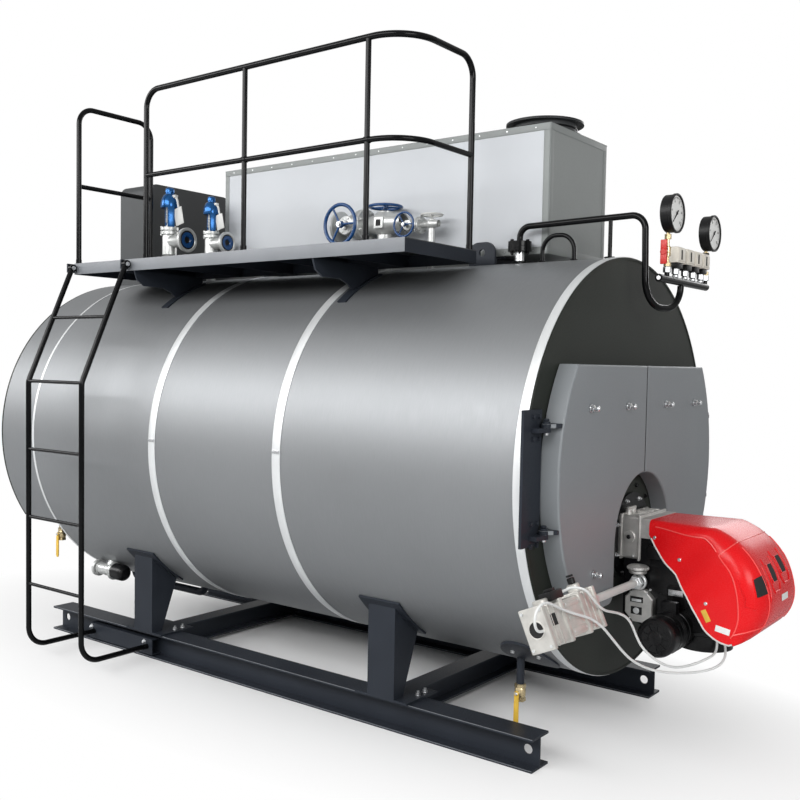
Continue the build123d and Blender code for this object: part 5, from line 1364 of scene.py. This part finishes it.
def cable(name, points):
    """A free cable along its route, as one smooth curve."""
    curve = bpy.data.curves.new(name, "CURVE")
    curve.dimensions = "3D"
    curve.bevel_depth = 0.006
    curve.bevel_resolution = 4
    curve.resolution_u = 10
    curve.use_fill_caps = True
    spline = curve.splines.new("NURBS")
    spline.points.add(len(points) - 1)
    for control, point in zip(spline.points, points):
        control.co = (*point, 1)
    spline.order_u = 3
    spline.use_endpoint_u = True
    curve.materials.append(cable_white)
    made = add_object(name + "_sheath", curve)
    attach(made, "boiler")
    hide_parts(name)


cable("burner_cable_long", [
    (-1.330, -2.317, 0.874), (-1.372, -2.317, 0.874), (-1.404, -2.315, 0.909), (-1.404, -2.316, 0.954),
    (-1.376, -2.320, 0.988), (-1.330, -2.326, 0.996), (-1.268, -2.328, 0.972), (-1.190, -2.334, 0.938),
    (-1.099, -2.353, 0.904), (-0.997, -2.367, 0.871), (-0.918, -2.385, 0.822), (-0.826, -2.391, 0.750),
    (-0.745, -2.405, 0.677), (-0.660, -2.419, 0.613), (-0.560, -2.454, 0.560), (-0.465, -2.496, 0.528),
    (-0.360, -2.562, 0.513), (-0.262, -2.622, 0.512), (-0.180, -2.664, 0.528), (-0.118, -2.670, 0.562),
    (-0.080, -2.652, 0.598), (-0.080, -2.652, 0.640)])
cable("burner_cable_short", [
    (-1.105, -2.264, 0.984), (-1.064, -2.264, 0.984), (-1.018, -2.281, 1.000), (-0.982, -2.331, 0.991),
    (-0.948, -2.347, 0.949), (-0.900, -2.358, 0.903), (-0.838, -2.362, 0.872), (-0.757, -2.352, 0.851),
    (-0.672, -2.350, 0.828), (-0.600, -2.358, 0.798), (-0.550, -2.364, 0.753), (-0.520, -2.372, 0.700),
    (-0.508, -2.388, 0.657), (-0.496, -2.417, 0.618), (-0.468, -2.451, 0.583), (-0.415, -2.480, 0.547),
    (-0.336, -2.514, 0.523), (-0.258, -2.568, 0.535), (-0.200, -2.608, 0.556), (-0.146, -2.626, 0.571),
    (-0.120, -2.626, 0.600), (-0.120, -2.626, 0.640)])


# Floor, light and camera

def floor():
    """A pale floor that fades out far from the boiler, and that lights it less than the camera sees."""
    data = bpy.data.meshes.new("floor")
    mesh = bmesh.new()
    bmesh.ops.create_circle(mesh, cap_ends=True, segments=96, radius=24.0)
    mesh.to_mesh(data)
    mesh.free()
    made = add_object("floor", data)
    made.location.z = -hair
    look = Look("pale floor")
    seen = look.node("ShaderNodeLightPath", {}).outputs["Is Camera Ray"]
    pale = look.blend(look.noise(0.6), (0.86, 0.86, 0.86), (0.9, 0.9, 0.9))
    look.dress({"Base Color": look.blend(seen, (0.68, 0.69, 0.7), pale), "Roughness": 0.6})
    near = look.node("ShaderNodeVectorMath", {0: look.plain_space, 1: (1.0, 0.45, 0.0)}, operation="MULTIPLY")
    distance = look.node("ShaderNodeVectorMath", {0: near.outputs["Vector"]}, operation="LENGTH")
    far = look.spread(distance.outputs["Value"], 0, 1, 0.75, 1.75)
    fade = look.node("ShaderNodeMath", {0: far, 1: seen}, operation="MULTIPLY")
    white = look.node("ShaderNodeEmission", {"Color": (1, 1, 1, 1)})
    mixed = look.node("ShaderNodeMixShader", {"Fac": fade.outputs["Value"], 1: look.shader.outputs["BSDF"],
                                              2: white.outputs["Emission"]})
    wire(look.tree, look.tree.nodes["Material Output"], {"Surface": mixed.outputs["Shader"]})
    data.materials.append(look.material)


def world(ambient, mirrored_level):
    """An even world: white where it is seen, greyer where it is mirrored, and dim as a light."""
    made = bpy.data.worlds.new("studio")
    bpy.context.scene.world = made
    made.use_nodes = True
    tree = made.node_tree
    tree.nodes.clear()
    path = new_node(tree, "ShaderNodeLightPath", {})
    level = ambient
    for ray, strength in (("Is Glossy Ray", mirrored_level), ("Is Transmission Ray", 1.0),
                          ("Is Camera Ray", 1.0)):
        mix = new_node(tree, "ShaderNodeMix", {"Factor": path.outputs[ray], "A": level, "B": strength})
        level = mix.outputs["Result"]
    sky = new_node(tree, "ShaderNodeBackground", {"Color": (1, 1, 1, 1), "Strength": level})
    new_node(tree, "ShaderNodeOutputWorld", {"Surface": sky.outputs["Background"]})


def softbox(name, place, target, size, power):
    """A large soft lamp that faces a target."""
    lamp = bpy.data.lights.new(name, "AREA")
    lamp.shape = "RECTANGLE"
    lamp.size, lamp.size_y = size
    lamp.energy = power
    made = add_object(name, lamp)
    made.location = place
    made.rotation_euler = (Vector(target) - Vector(place)).to_track_quat("-Z", "Y").to_euler()
    made.visible_camera = False


floor()
world(0.22, 0.55)
softbox("side_light", (-7.5, 4.6, 5.7), (0, 3.6, 1.7), (19.0, 3.2), 1280)
softbox("front_light", (-4.5, -9.0, 4.0), (0, -2.0, 1.5), (4.0, 3.0), 300)
softbox("far_light", (8.0, -1.0, 4.5), (0, 0, 1.8), (6.0, 3.0), 160)

photo_size = 800
focal_px = 981.0
sensor_width = 36.0
principal_px = (389.98, 414.17)
eye = Vector((-4.902, -4.243, 1.961))
yaw, pitch, roll = (math.radians(angle) for angle in (-52.4387, -2.8777, 1.0231))
ahead = Vector((-math.sin(yaw) * math.cos(pitch), math.cos(yaw) * math.cos(pitch), math.sin(pitch)))
level_right = Vector((math.cos(yaw), math.sin(yaw), 0))
level_up = level_right.cross(ahead)
camera_right = math.cos(roll) * level_right + math.sin(roll) * level_up
camera_up = -math.sin(roll) * level_right + math.cos(roll) * level_up

camera = add_object("camera", bpy.data.cameras.new("camera"))
camera.data.sensor_width = sensor_width
camera.data.lens = focal_px * sensor_width / photo_size
camera.data.shift_x = (photo_size / 2 - principal_px[0]) / photo_size
camera.data.shift_y = (principal_px[1] - photo_size / 2) / photo_size
camera.data.clip_end = 100
camera_axes = Matrix((camera_right, camera_up, -ahead)).transposed().to_4x4()
camera.matrix_world = Matrix.Translation(eye) @ camera_axes
bpy.context.scene.camera = camera
bpy.context.scene.view_settings.view_transform = "Standard"

bpy.context.view_layer.update()
